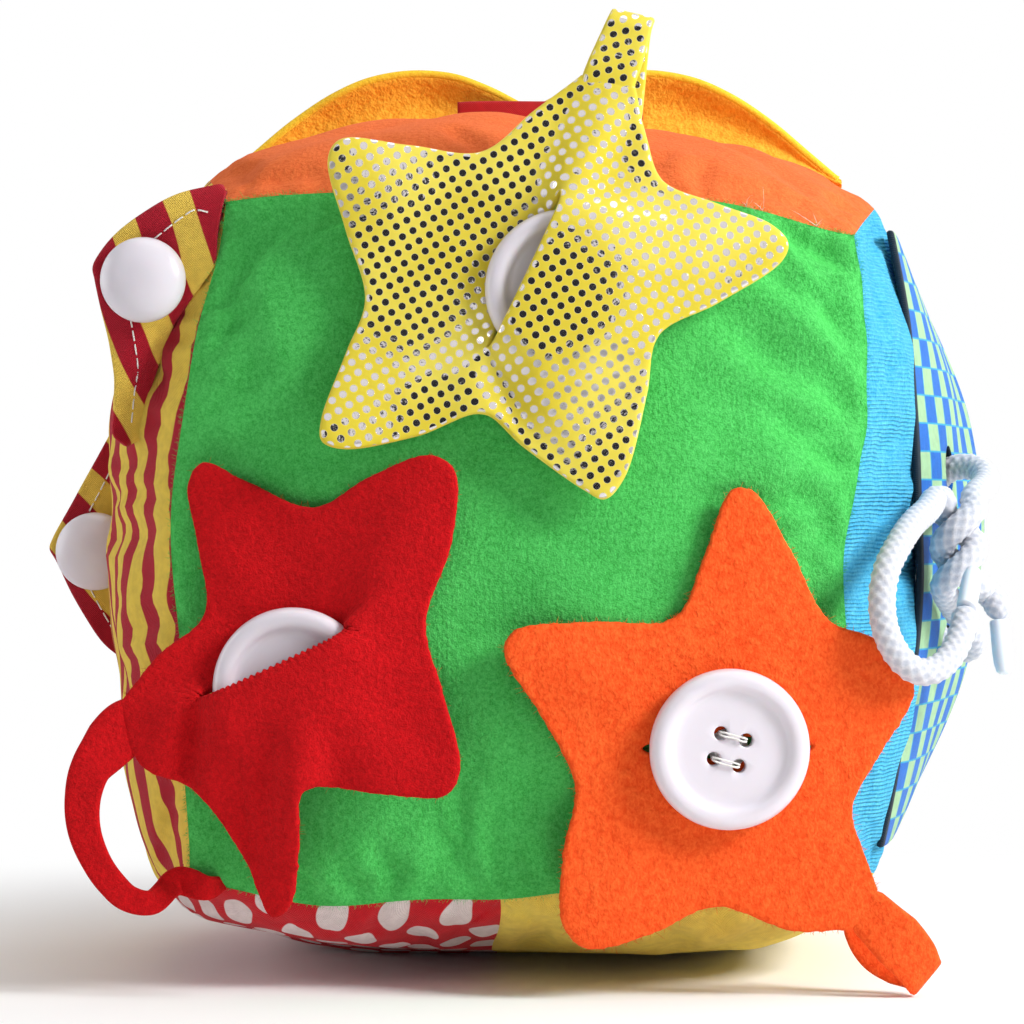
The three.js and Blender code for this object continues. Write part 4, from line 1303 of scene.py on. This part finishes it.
def hole_centres():
    return hole_circle * np.stack([np.cos(hole_angles), np.sin(hole_angles)], axis=1)


def place_on_star(made, star, height):
    """Stands a piece that was made about Z on a star's plane."""
    right, up, out = star_matrix(star)
    turn = Matrix((right, up, out)).transposed().to_4x4()
    at = np.array(star["centre"], float) + out * height
    made.matrix_world = Matrix.Translation(Vector(at * MM)) @ turn


def add_button(star):
    """A big four-hole button: a rounded rim round a sunk middle."""
    radius = button_diameter / 2
    profile = [(0, 0), *((radius - inward, height) for inward, height in button_rim)]
    profile += [(hole_circle / 3, button_floor), (0, button_floor)]
    made = turned(f"{star['name']}_disc", profile, materials["button"], 128)
    r = hole_diameter / 2
    hole = [(0, -1), (r, -1), *((r + outward, button_floor + up) for outward, up in hole_lip)]
    hole += [(r + hole_lip[-1][0], hole_cut_top), (0, hole_cut_top)]
    cutters = []
    for x, y in hole_centres():
        cutter = turned("cutter", hole, materials["button"], 28)
        cutter.location = Vector((x, y, 0)) * MM
        cutters.append(cutter)
    bpy.context.view_layer.update()
    cut(made, cutters)
    made.data.set_sharp_from_angle(angle=math.radians(sharp_edge_degrees))
    back = button_behind_lip if star["half_through"] else star_thickness + button_over_star
    place_on_star(made, star, back)
    dress(made, "block", "button", f"{star['name']}_button")
    return back


strand_diameter = 0.46
strand_gap = 0.42
strand_sway = 0.12
# A strand from one hole to the other: share of the way, share of its shift, and whether it sways
strand_steps = [
    (0, 0.5, 0), (0, 0.7, 0), (0.14, 1, 0), (0.5, 1, 1), (0.86, 1, 0), (1, 0.7, 0), (1, 0.5, 0),
]


def add_stitches(star, back):
    """The shank under the button and the strands through each pair of its holes."""
    centres = hole_centres()
    over = back + button_floor + 0.45
    pieces = []
    random = np.random.default_rng(seed)
    for a, b in ((centres[1], centres[0]), (centres[2], centres[3])):
        side = unit(np.array([a[1] - b[1], b[0] - a[0]]))
        for offset in (-strand_gap, strand_gap):
            shift = side * offset
            sway = random.normal(0, strand_sway, 2)
            top = over + 0.25 - abs(offset) * 0.3
            heights = (back - 0.5, over - 0.6, top - 0.05, top, top - 0.05, over - 0.6, back - 0.5)
            route = [
                (*(a * (1 - way) + b * way + shift * share + sway * swayed), height)
                for (way, share, swayed), height in zip(strand_steps, heights)
            ]
            line = even_steps(catmull_rom(route, 10), 40)
            pieces.append(tube("strand", line, strand_diameter / 2, materials["thread"], 8))
    panel = surface_at(faces_of_block["front"], np.array(star["centre"][0]), np.array(star["centre"][2]))
    base = star["centre"][1] - panel[1] + 0.6
    shank = [(0, base), (2.0, base), (1.7, base + 0.6), (1.8, back - 1.2), (4.6, back - 0.4)]
    pieces.append(turned("shank", shank + [(0, back - 0.35)], materials["thread"], 24))
    made = join(f"{star['name']}_stitches", pieces)
    place_on_star(made, star, 0)
    dress(made, "block", "thread", f"{star['name']}_thread")


for star in stars:
    add_star_cloth(star)
    add_stitches(star, add_button(star))


# Loose fibres along cut edges and seams

fibre_radius = 0.05
fibre_bend = 0.5
fibre_depth = 0.4
fibre_scatter = 0.25
fibre_length_shares = (0.35, 1.0)
# A fibre's rings: share of its length, and share of its width
fibre_taper = ((0, 1), (0.45, 0.9), (0.8, 0.6))
fibre_sides = 3
fibre_points = 10
fibres_per_star = 900
fibres_per_seam = 700
loose_thread_places = (50.0, 53.0, 66.0)
threads_per_place = 5


def add_fuzz(name, roots, outs, length, spread, material, order):
    """Thin tapered fibres that stand out from a row of roots. The caller ties them to a body."""
    random = np.random.default_rng(seed + order)
    count = len(roots)
    roots = roots + random.normal(0, fibre_scatter, (count, 3))
    aims = unit(outs + random.normal(0, spread, (count, 3)))
    sizes = length * random.uniform(*fibre_length_shares, (count, 1))
    bends = random.normal(0, fibre_bend, (count, 3)) * sizes
    side = unit(np.cross(aims, (0.3, 0.5, 0.8)))
    other = np.cross(aims, side)
    rings = []
    for share, width in fibre_taper:
        middle = roots + aims * sizes * share + bends * share**2
        for angle in circle(fibre_sides):
            rings.append(middle + (side * math.cos(angle) + other * math.sin(angle)) * fibre_radius * width)
    rings.append(roots + aims * sizes + bends)
    points = np.stack(rings, axis=1)
    turns = [(i, (i + 1) % fibre_sides) for i in range(fibre_sides)]
    faces = [[2, 1, 0]]
    for low in (0, fibre_sides):
        high = low + fibre_sides
        faces += [[low + i, low + after, high + after, high + i] for i, after in turns]
    faces += [[high + i, high + after, fibre_points - 1] for i, after in turns]
    starts = range(0, count * fibre_points, fibre_points)
    polygons = [[start + i for i in face] for start in starts for face in faces]
    flat = np.zeros((count * fibre_points, 2))
    return add_object(name, points.reshape(-1, 3), polygons, flat, materials[material])


def add_star_fuzz(star, length):
    """Fibres all along a star's cut edge."""
    outline = star_outline(star)
    out = outline_normals(outline)
    if np.sum(out * outline) < 0:
        out = -out
    pick = np.random.default_rng(seed + 95).integers(0, outline_count, fibres_per_star)
    heights = star["edge"][pick] + star_thickness / 2
    roots = to_block(star, lifted(outline[pick] - out[pick] * fibre_depth, heights))
    outs = lifted(out[pick], 0.0) @ star_matrix(star)
    made = add_fuzz(f"{star['name']}_fuzz", roots, outs, length, 0.5, star["slot"], 96)
    dress(made, star["name"], star["slot"])


def add_seam_fuzz():
    """Green fibres that stand over the seams round the front, and loose threads at the top seam."""
    points, _ = cover_grid("front")
    normals = grid_normals(points)
    if normals[panel_lines // 2, panel_lines // 2, 1] > 0:
        normals = -normals
    rims = [(points[i], normals[i]) for i in (0, -1)] + [(points[:, i], normals[:, i]) for i in (0, -1)]
    middle = np.array([0, -half[1], centre_z])
    roots, outs = [], []
    random = np.random.default_rng(seed + 97)
    for line, normal in rims:
        places = random.uniform(0, len(line) - 1.001, fibres_per_seam)
        low = places.astype(int)
        share = (places - low)[:, None]
        at = line[low] * (1 - share) + line[low + 1] * share
        roots.append(at)
        outs.append(unit(at - middle) * 0.8 + normal[low] * 0.6)
    made = add_fuzz("front_fuzz", np.vstack(roots), np.vstack(outs), 0.9, 0.5, "green_velour", 98)
    dress(made, "block", "green_velour")
    top = points[:, -1]
    wanted = np.array([np.argmin(np.abs(top[:, 0] - x)) for x in loose_thread_places])
    roots = np.repeat(top[wanted], threads_per_place, axis=0)
    outs = np.broadcast_to(np.array([0.2, -0.5, 0.8]), roots.shape)
    made = add_fuzz("loose_threads", roots, outs, 4.5, 0.8, "thread", 99)
    dress(made, "block", "thread")


add_star_fuzz(stars[1], 1.0)
add_star_fuzz(stars[2], 1.3)
add_seam_fuzz()


# Straps, along the part's routes

strap_width = 11.0
strap_thickness = 1.6
strap_columns = 9
strap_edge = 0.8
strap_steps = 110
long_strap_steps = 150
fold_radius = 1.9
# How far inside its star a strap starts, how deep it starts there, and how proud it comes out
strap_sink = (3.0, 0.5)
strap_proud = 0.08
red_strap_thickness = 2.4
red_strap_span = 42.0
red_strap_shares = [
    (-0.12, -0.03, -0.13), (-0.193, -0.05, -0.236), (-0.231, -0.05, -0.405), (-0.219, -0.04, -0.571),
    (-0.152, -0.02, -0.743), (-0.076, 0, -0.855), (0.01, 0.03, -0.938), (0.13, 0.06, -0.965),
]
orange_strap_steps = [
    (4.4, -1.2, -4.2), (8.8, -2.0, -8.4), (12.0, -1.4, -12.2), (13.8, 0.2, -15.2), (14.2, 2.2, -15.8),
    (13.0, 4.2, -15.2), (8.0, 6.0, -14.4), (2.4, 7.0, -11.0), (-1.4, 8.0, -4.6),
]


def strap_root(star):
    """The middle of the edge where a strap leaves its star, its direction and the way out."""
    a, b = np.array(star["outline"][-1], float), np.array(star["outline"][0], float)
    middle = (a + b) / 2
    edge = unit(b - a)
    out = np.array([edge[1], -edge[0]])
    return middle, edge, out if out @ middle > 0 else -out


def strap_place(star, along, side, height):
    """A point beyond a strap's root: out along it, to one side, and up from the star's middle."""
    middle, edge, out = strap_root(star)
    flat = middle + out * along + edge * side
    return to_block(star, np.array([*flat, star["level"] + height]))


def seam_point(p, q):
    at = block_point(faces_of_block["front"], np.array(float(p)), np.array(float(q)))
    return hang_corners(at[None])[0]


def add_strap(star, route, across, widths, thickness, start, steps=strap_steps):
    """A strap along a route, as wide as widths say at shares of its length.

    Across gives the direction over its width at its start and its end. Without it, the strap
    lies flat to the front.
    """
    name = star["name"]
    line = even_steps(catmull_rom(route), steps)
    shares = np.linspace(0, 1, steps)
    width = np.interp(shares, *np.array(widths).T)
    tangents = unit(np.gradient(line, axis=0))
    if across is None:
        spread = unit(np.cross(tangents, (0.0, 1.0, 0.0)))
    else:
        first, last = np.array(across, float)
        spread = unit(first + (last - first) * shares[:, None])
    columns = edge_shares(strap_width, strap_columns, strap_edge)
    offsets = (columns - 0.5)[None, :] * width[:, None]
    middle = line[:, None] + spread[:, None] * offsets[..., None]
    length = length_of(line)
    flat = np.stack(np.broadcast_arrays(offsets, (shares * length)[:, None]), axis=-1)
    rounds = border_taper(steps, len(columns), 1.0, edge_rounds)
    thick = np.interp(shares, (0, 0.12, 0.25), (star_thickness, star_thickness, thickness))
    made = cloth(f"{name}_tether", middle, rounds * thick[:, None], flat, materials[star["slot"]])
    mark_edges(made, steps, len(columns))
    dress(made, None, star["slot"], f"{name}_strap")
    tuple(start * MM)
    tuple(strap_place(star, 0, 0, 0) * MM)
    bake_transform(made)


def add_folded_strap(star, reach, lean, back_side, end, into, widths):
    """A strap that leaves its arm, folds back behind itself and goes into a seam."""
    _, edge, _ = strap_root(star)
    bend = reach - fold_radius
    across = np.array([*edge, 0]) @ star_matrix(star)
    steps_out = [(-strap_sink[0], 0, -strap_sink[1])]
    steps_out += [(share * bend, lean * share * bend, strap_proud) for share in (0, 0.35, 0.7, 1)]
    turn = [(reach, lean * reach, -fold_radius), (bend, lean * bend + back_side / 2, -2 * fold_radius)]
    route = [strap_place(star, *place) for place in steps_out + turn]
    halfway = (route[-1] + end) / 2
    add_strap(star, route + [halfway, end, end + into], (across, across), widths, strap_thickness, end)


yellow_star, red_star, orange_star = stars
add_folded_strap(
    yellow_star, 16.5, 0.12, 0.0, seam_point(0.23, 1) + np.array([0, -0.3, 0.9]), np.array([0, 2.0, -1.5]),
    [(0, 12.4), (0.12, 12.2), (0.3, 10.4), (1, 10.0)],
)
orange_start = strap_place(orange_star, 0, 0, strap_proud)
orange_end = seam_point(1, -1) + np.array([-1.0, 0.5, -2.0])
orange_route = [strap_place(orange_star, -strap_sink[0], 0, -strap_sink[1]), orange_start]
orange_route += [orange_start + np.array(step) for step in orange_strap_steps]
add_strap(
    orange_star, orange_route + [orange_end, orange_end + np.array([-4.0, 4.0, 1.0])],
    ((0.55, 0, 0.83), (0.76, 0.05, 0.64)),
    [(0, 8.0), (0.06, 11.2), (0.2, 13.0), (0.32, 11.6), (0.42, 9.4), (0.52, 7.8), (0.7, 7.0), (1, 8.0)],
    strap_thickness, orange_end, long_strap_steps,
)
red_start = strap_place(red_star, 0, 0, strap_proud)
red_end = seam_point(-1, -1) + np.array([-0.5, -1.4, 1.4])
red_seam_end = seam_point(-0.92, -1) + np.array([0, -1.6, 1.2])
red_route = [strap_place(red_star, -strap_sink[0], 0, -strap_sink[1]), red_start]
red_route += [red_start + np.array(share) * red_strap_span for share in red_strap_shares]
add_strap(
    red_star, red_route + [red_end, red_seam_end, red_seam_end + np.array([4.0, 5.0, 1.0])], None,
    [(0, 13.0), (0.1, 12.4), (0.2, 9.4), (0.28, 8.4), (0.38, 7.7), (0.48, 6.9), (0.59, 6.6),
     (0.68, 5.8), (0.77, 5.8), (0.83, 6.8), (0.87, 6.8), (0.92, 5.8), (0.96, 4.0), (1, 3.0)],
    red_strap_thickness, red_end, long_strap_steps,
)


# Tabs with dome buttons. Each is cloth between an inner edge, sewn to the block, and a free edge.
# Both run from the tab's top to its bottom: x, y and z inside, and x and z outside.

tab_thickness = 1.8
tab_backing_thickness = 1.4
tab_rows = 110
tab_columns = 34
tab_reach = 24.0
tab_edge = 0.8
tab_bulge = 0.9
tab_waver = 0.8
tab_waver_width = 22
tab_root_gap = 0.7
dome_diameter = 20.0
dome_height = 6.0
dome_shank_length = 1.2
dome_shank_radius = 3.2
dome_rim = 1.2
stitch_length = 2.3
stitch_pitch = 2.9
stitch_steps = 12
stitch_radius = 0.19
stitch_rise = 0.22
lower_tab_y = 6.0


def lower_tab_root(z):
    near = surface_at(faces_of_block["left"], np.array(lower_tab_y), np.array(z))[0]
    return (near + tab_root_gap, lower_tab_y, z)


tabs = [
    {
        "name": "upper", "material": "upper_striped_tab", "hem": 0.5, "dome": (-91.1, 166.1),
        "blend": ((-84, -74, 155), (-91.5, -74, 157.4)),
        "inner": [
            (-71.8, -77.8, 187.4), (-73.6, -78.4, 178), (-74.4, -78.4, 170), (-77.6, -77.0, 165),
            (-85.0, -72.4, 155), (-88.6, -68.4, 147), (-92.2, -66.4, 136), (-93.4, -65.8, 129),
        ],
        "depth": [(127, -67.5), (150, -73.0), (170, -75.4), (188, -77.0)],
        "outer": [
            (-72.6, 188.5), (-83.3, 186.2), (-90.2, 182.8), (-97.2, 177.8), (-101.2, 173.4),
            (-103.4, 169.4), (-103.0, 166.6), (-101.8, 160.5), (-99.8, 152), (-98.8, 144), (-99.2, 136),
            (-99.4, 130), (-96.2, 127.4),
        ],
        "stitches": [
            [(-76.0, 181.9), (-79.1, 182.4), (-82.3, 180.6), (-86.1, 177.8), (-89.5, 175.2)],
            [(-94.4, 157.6), (-93.5, 151.4), (-93.1, 145.8), (-94.2, 139.8), (-95.1, 132.4)],
        ],
    },
    {
        "name": "lower", "material": "lower_striped_tab", "hem": 1.3, "dome": (-112.1, 101.9),
        "blend": ((-100.5, 6, 108), (-105.5, 6, 108)),
        "inner": [lower_tab_root(z) for z in (141, 128, 115, 102, 89, 75)],
        "depth": [(70, 6), (145, 6)],
        "outer": [
            (-103.2, 141.2), (-107.6, 134.2), (-113.6, 123.3), (-119, 113.6), (-123.6, 105.2),
            (-124.4, 102.6), (-122.8, 99.6), (-117.8, 89.6), (-110.9, 78.6), (-106.0, 74.4),
        ],
        "stitches": [
            [(-104.6, 131), (-107.2, 125.4), (-111.2, 117.2), (-114.2, 111.5)],
            [(-113.6, 92.4), (-110.6, 86.6), (-106.8, 79.8)],
        ],
    },
]


def tab_surface(tab, push, hem):
    """Points across a tab, pushed back by some amount and let out by a hem at the free edge."""
    inner = even_steps(catmull_rom(tab["inner"]), tab_rows)
    outer = even_steps(catmull_rom(tab["outer"]), tab_rows)
    tangents = unit(np.gradient(outer, axis=0))
    outer = outer + np.stack([tangents[:, 1], -tangents[:, 0]], axis=1) * -hem
    depth = np.interp(outer[:, 1], *np.array(tab["depth"]).T)
    free = np.stack([outer[:, 0], depth, outer[:, 1]], axis=1)
    shares = edge_shares(tab_reach, tab_columns, tab_edge)
    points = inner[:, None] + (free - inner)[:, None] * shares[None, :, None]
    full = np.sin(math.pi * shares)[None, :] * np.sin(math.pi * np.linspace(0, 1, tab_rows))[:, None]
    flat = points[..., [0, 2]]
    points[..., 1] += push - full * tab_bulge + full * tab_waver * lumps(flat, tab_waver_width, 40)
    return points, flat


def add_tab(tab):
    body = f"{tab['name']}_tab"
    push = tab_thickness + clearance
    layers = [
        ("front", 0.0, tab_thickness, 0.0, tab["material"], "striped_cotton", body),
        ("lining", push, tab_backing_thickness, tab["hem"], "dark_red_cotton", "dark_red_cotton",
         f"{body}_backing"),
    ]
    for label, push, thickness, hem, material, slot, node_name in layers:
        middle, flat = tab_surface(tab, push + thickness / 2, hem)
        taper = border_taper(tab_rows, middle.shape[1], thickness, edge_rounds)
        made = cloth(f"{body}_{label}", middle, taper, flat, materials[material], False, (0, -1, 0))
        join_to_block(dress(made, None, slot, node_name))
    add_tab_stitches(tab)
    add_dome(tab, body)


def join_to_block(made):
    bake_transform(made)


def tab_front(tab, x, z):
    """The y of a tab's front at one place."""
    points, flat = tab_surface(tab, 0.0, 0.0)
    away = np.sum((flat - np.array([x, z])) ** 2, axis=-1)
    return points[np.unravel_index(np.argmin(away), away.shape)][1]


def add_tab_stitches(tab):
    """Rows of white topstitching on a tab."""
    pieces = []
    for run in tab["stitches"]:
        line = catmull_rom(run)
        count = int(length_of(line) / stitch_pitch)
        line = even_steps(line, count * stitch_steps + 1)
        size = int(stitch_steps * stitch_length / stitch_pitch)
        for start in range(0, count * stitch_steps, stitch_steps):
            part = line[start : start + size + 1]
            over = stitch_rise * np.sin(np.linspace(0, math.pi, len(part)))
            depth = np.array([tab_front(tab, x, z) for x, z in part])
            route = np.stack([part[:, 0], depth - 0.05 - over, part[:, 1]], axis=1)
            pieces.append(tube("stitch", route, stitch_radius, materials["thread"], 6))
    made = dress(join(f"{tab['name']}_tab_stitching", pieces), None, "thread")
    join_to_block(made)


def add_dome(tab, body):
    radius = dome_diameter / 2
    base = dome_shank_length
    profile = [(0, 0), (dome_shank_radius, 0), (dome_shank_radius, base), (radius - dome_rim, base)]
    profile += [(radius - 0.35, base + 0.3), (radius, base + 1.0)]
    rise = dome_height - dome_rim
    for share in np.sin(np.linspace(math.pi / 2, 0, 18))[1:]:
        profile.append((radius * share, base + dome_rim + rise * math.sqrt(1 - share**2)))
    profile[-1] = (0, base + dome_height)
    made = turned(f"{tab['name']}_dome", profile, materials["button"], 72)
    made.data.set_sharp_from_angle(angle=math.radians(50))
    x, z = tab["dome"]
    place = Vector((x, tab_front(tab, x, z) - clearance, z))
    made.matrix_world = Matrix.Translation(place * MM) @ Matrix.Rotation(math.pi / 2, 4, "X")
    dress(made, body, "button", f"{tab['name']}_dome_button")


for tab in tabs:
    add_tab(tab)


# Petals and their band

petal_length = 78.0
petal_height = 17.0
petal_thickness = 3.0
petal_y = 11.0
petal_cup = 4.0
petal_gap = 5.0
petal_root_gap = 0.4
petal_rows = 90
petal_columns = 14
petal_edges = (1.0, 0.9)
petal_least_height = 1.5
petal_waver = 0.3
petal_waver_width = 24
petal_rounds = (0.0, 0.7, 0.95)
petal_border_share = 0.9
petal_binding_radius = 1.1
petal_rim_shares = [0.02, 0.3, 0.6, 0.83, 0.97, 1, 0.93, 0.72, 0.42]
petal_band_width = 48.0
petal_band_height = 9.0
petal_band_left_share = 0.4
petal_band_thickness = 1.8
petal_band_gap = 1.4
petal_band_edges = (0.8, 0.7)
petal_band_waver = 0.35
petal_band_waver_width = 12


def top_height(x):
    """How high the top lies along the petals' line."""
    return surface_at(faces_of_block["top"], x, np.full(x.shape, petal_y))[..., 2]


def add_petal(name, side):
    inner = side * petal_gap / 2
    share = edge_shares(petal_length, petal_rows, petal_edges[0])
    x = inner + side * petal_length * (1 - share)
    root = top_height(x) + clearance + petal_root_gap
    keys = np.linspace(0, 1, len(petal_rim_shares))
    smooth_keys = catmull_rom(np.stack([keys, petal_rim_shares], axis=1))
    rim = np.interp(share, smooth_keys[:, 0], smooth_keys[:, 1])
    rise = np.maximum(clearance + rim * petal_height, petal_least_height)
    up = edge_shares(petal_height, petal_columns, petal_edges[1])
    cup = petal_cup * np.sin(math.pi * up)[None, :] * (rise / petal_height)[:, None]
    grid_x = np.broadcast_to(x[:, None], cup.shape)
    z = root[:, None] + up[None, :] * rise[:, None]
    flat = np.stack([grid_x, z], axis=-1)
    y = petal_y + petal_thickness / 2 + cup + petal_waver * lumps(flat, petal_waver_width, 50 + side)
    middle = np.stack([grid_x, y, z], axis=-1)
    taper = border_taper(len(x), len(up), petal_thickness * petal_border_share, petal_rounds)
    made = cloth(f"{name}_felt", middle, taper, flat, materials["petal_felt"], False, (0, -1, 0))
    dress(made, name, "petal_felt", name)
    rim_line = even_steps(middle[2:-2, -2], 120)
    # The rim tube's shape is real; its yellower felt is a painted highlight for the backlit rim
    binding = tube(f"{name}_binding", rim_line, petal_binding_radius, materials["petal_rim_painted_light"], 12)
    dress(binding, name, "petal_felt")


def add_petal_band():
    start = -petal_band_width * petal_band_left_share
    share = edge_shares(petal_band_width, 60, petal_band_edges[0])
    up = edge_shares(petal_band_height, 12, petal_band_edges[1])
    x = start + share * petal_band_width
    root = top_height(x) + clearance
    y = petal_y - petal_band_gap - petal_band_thickness / 2
    z = root[:, None] + up[None, :] * petal_band_height
    grid_x = np.broadcast_to(x[:, None], z.shape)
    flat = np.stack([grid_x, z], axis=-1)
    fold = petal_band_waver * lumps(flat, petal_band_waver_width, 60)
    middle = np.stack([grid_x, y + fold, z], axis=-1)
    taper = border_taper(len(x), len(up), petal_band_thickness, edge_rounds)
    made = cloth("petal_loop", middle, taper, flat, materials["plain_red"], False, (0, -1, 0))
    dress(made, "block", "plain_red", "petal_band")


add_petal("left_petal", -1)
add_petal("right_petal", 1)
add_petal_band()


# The lacing band

band_width = 72.0
band_length = 170.0
band_near_y = -50.0
band_far_y = 22.0
band_thickness = 1.8
band_edge = 0.7
band_arch_power = 0.7
band_waver = 0.35
band_waver_width = 34
band_near_lift = 0.2
band_far_lift = 22.0
band_low_sink = 2.6
band_sink_heights = (52, 84)
band_top = 180.0
band_bottom = 31.0
lace_holes = [(-25.5, 122.5), (-25.5, 78.0)]
lace_hole_width = 9.0
lace_hole_height = 12.0
lace_hole_lean = 0.4
lace_hole_cut = 10


def band_middle(along, across):
    y = band_near_y + across * (band_far_y - band_near_y)
    z = band_bottom + along * (band_top - band_bottom)
    lift = band_near_lift + across * (band_far_lift - band_near_lift)
    arch = np.sin(math.pi * np.clip(along, 0, 1)) ** band_arch_power
    point = surface_at(faces_of_block["right"], y, z)
    sink = band_low_sink * (1 - smooth(z, *band_sink_heights)) * (1 - np.clip(across, 0, 1)) ** 2
    point[..., 0] += clearance + lift * arch + band_thickness / 2 - sink
    return point


def add_band():
    along = edge_shares(band_top - band_bottom, 120, band_edge)
    across = edge_shares(band_width, 50, band_edge)
    grid = np.meshgrid(along, across, indexing="ij")
    middle = band_middle(*grid)
    waver = band_waver * lumps(middle[..., 1:], band_waver_width, 70)
    middle[..., 0] += waver * np.sin(math.pi * grid[0])
    flat = np.stack([grid[1] * band_width, grid[0] * band_length], axis=-1)
    taper = border_taper(len(along), len(across), band_thickness, edge_rounds)
    made = cloth("lacing_ribbon", middle, taper, flat, materials["check_ribbon"], False, (1, 0, 0))
    r = lace_hole_width / 2
    hole = [(0, -lace_hole_cut), (r, -lace_hole_cut), (r, lace_hole_cut), (0, lace_hole_cut)]
    cutters = []
    for y, z in lace_holes:
        spot = band_middle(
            np.array((z - band_bottom) / (band_top - band_bottom)),
            np.array((y - band_near_y) / (band_far_y - band_near_y)),
        )
        cutter = turned("cutter", hole, materials["check_ribbon"], 32)
        stretch = Matrix.Diagonal((lace_hole_height / lace_hole_width, 1, 1, 1))
        lean = Matrix.Rotation(-lace_hole_lean, 4, "Z") @ Matrix.Rotation(math.pi / 2, 4, "Y")
        cutter.matrix_world = Matrix.Translation(Vector(spot) * MM) @ lean @ stretch
        cutters.append(cutter)
    bpy.context.view_layer.update()
    cut(made, cutters)
    dress(made, "block", "check_ribbon", "lacing_band")


add_band()


# Floor, backdrop and light

floor_tone = colour(250, 250, 250)
floor_radius = 2600.0
floor_sides = 64
floor_drop = 0.05
floor_fade = (0.12, 0.28)
world_level = 0.28
# The dark part of the studio that the foil mirrors: its direction, and how far it reaches
dark_spot = (-0.1, -1.0, 0.2)
dark_spot_reach = (0.37, 0.29)
dark_spot_tone = (0.03, 0.03, 0.035, 1)
white = (1, 1, 1, 1)
# Each lamp's place, size and watts
lamps = [
    ((720, -400, 560), 300, 10.0),
    ((-1000, -20, 320), 800, 3.4),
    ((0, -100, 1100), 700, 2.2),
    ((300, 900, 700), 800, 3.0),
]


def add_floor():
    """A pale floor that shows the object's shadow and turns plain white further out."""
    material, tree, surface = new_material("floor", 0.9, specular=0.1)
    feed(surface, {"Base Color": floor_tone})
    backdrop = wire(tree, "ShaderNodeEmission")
    place = wire(tree, "ShaderNodeTexCoord", output="Object")
    away = wire(tree, "ShaderNodeVectorMath", {0: place}, "Value", operation="LENGTH")
    share = step_between(away, *floor_fade) * wire(tree, "ShaderNodeLightPath", output="Is Camera Ray")
    both = wire(tree, "ShaderNodeMixShader", {0: share, 1: Wire(surface.outputs[0]), 2: backdrop})
    feed(tree.nodes["Material Output"], {"Surface": both})
    angles = np.linspace(0, 2 * math.pi, floor_sides, endpoint=False)
    corners = lifted(np.stack([np.cos(angles), np.sin(angles)], axis=1) * floor_radius, -floor_drop)
    add_object("floor", corners, [list(range(floor_sides))], corners[:, :2], material)


def add_light(number, place, size, watts):
    data = bpy.data.lights.new(f"light_{number}", "AREA")
    data.energy = watts
    data.size = size * MM
    made = bpy.data.objects.new(f"light_{number}", data)
    made.location = Vector(place) * MM
    aim = Vector((0, 0, centre_z)) - Vector(place)
    made.rotation_euler = aim.to_track_quat("-Z", "Y").to_euler()
    bpy.context.collection.objects.link(made)


def set_world():
    """White behind the object, and a plain grey studio for what lights it."""
    world = bpy.data.worlds.new("studio")
    bpy.context.scene.world = world
    world.use_nodes = True
    tree = world.node_tree
    background = tree.nodes["Background"]
    rays = ("Is Camera Ray", "Is Glossy Ray", "Is Transmission Ray")
    seen, glossy, through = (wire(tree, "ShaderNodeLightPath", output=name) for name in rays)
    place = wire(tree, "ShaderNodeTexCoord", output="Generated")
    aim = wire(tree, "ShaderNodeVectorMath", {0: place, 1: dark_spot}, operation="SUBTRACT")
    away = wire(tree, "ShaderNodeVectorMath", {0: aim}, "Value", operation="LENGTH")
    mirrored = mix(step_between(away, *dark_spot_reach), white, dark_spot_tone)
    lit = mix(glossy, (world_level, world_level, world_level, 1), mirrored)
    feed(background, {"Color": mix(calc("MAXIMUM", seen, through), lit, white), "Strength": 1.0})


add_floor()
for number, lamp in enumerate(lamps):
    add_light(number, *lamp)
set_world()

bpy.context.scene.view_settings.view_transform = "Standard"
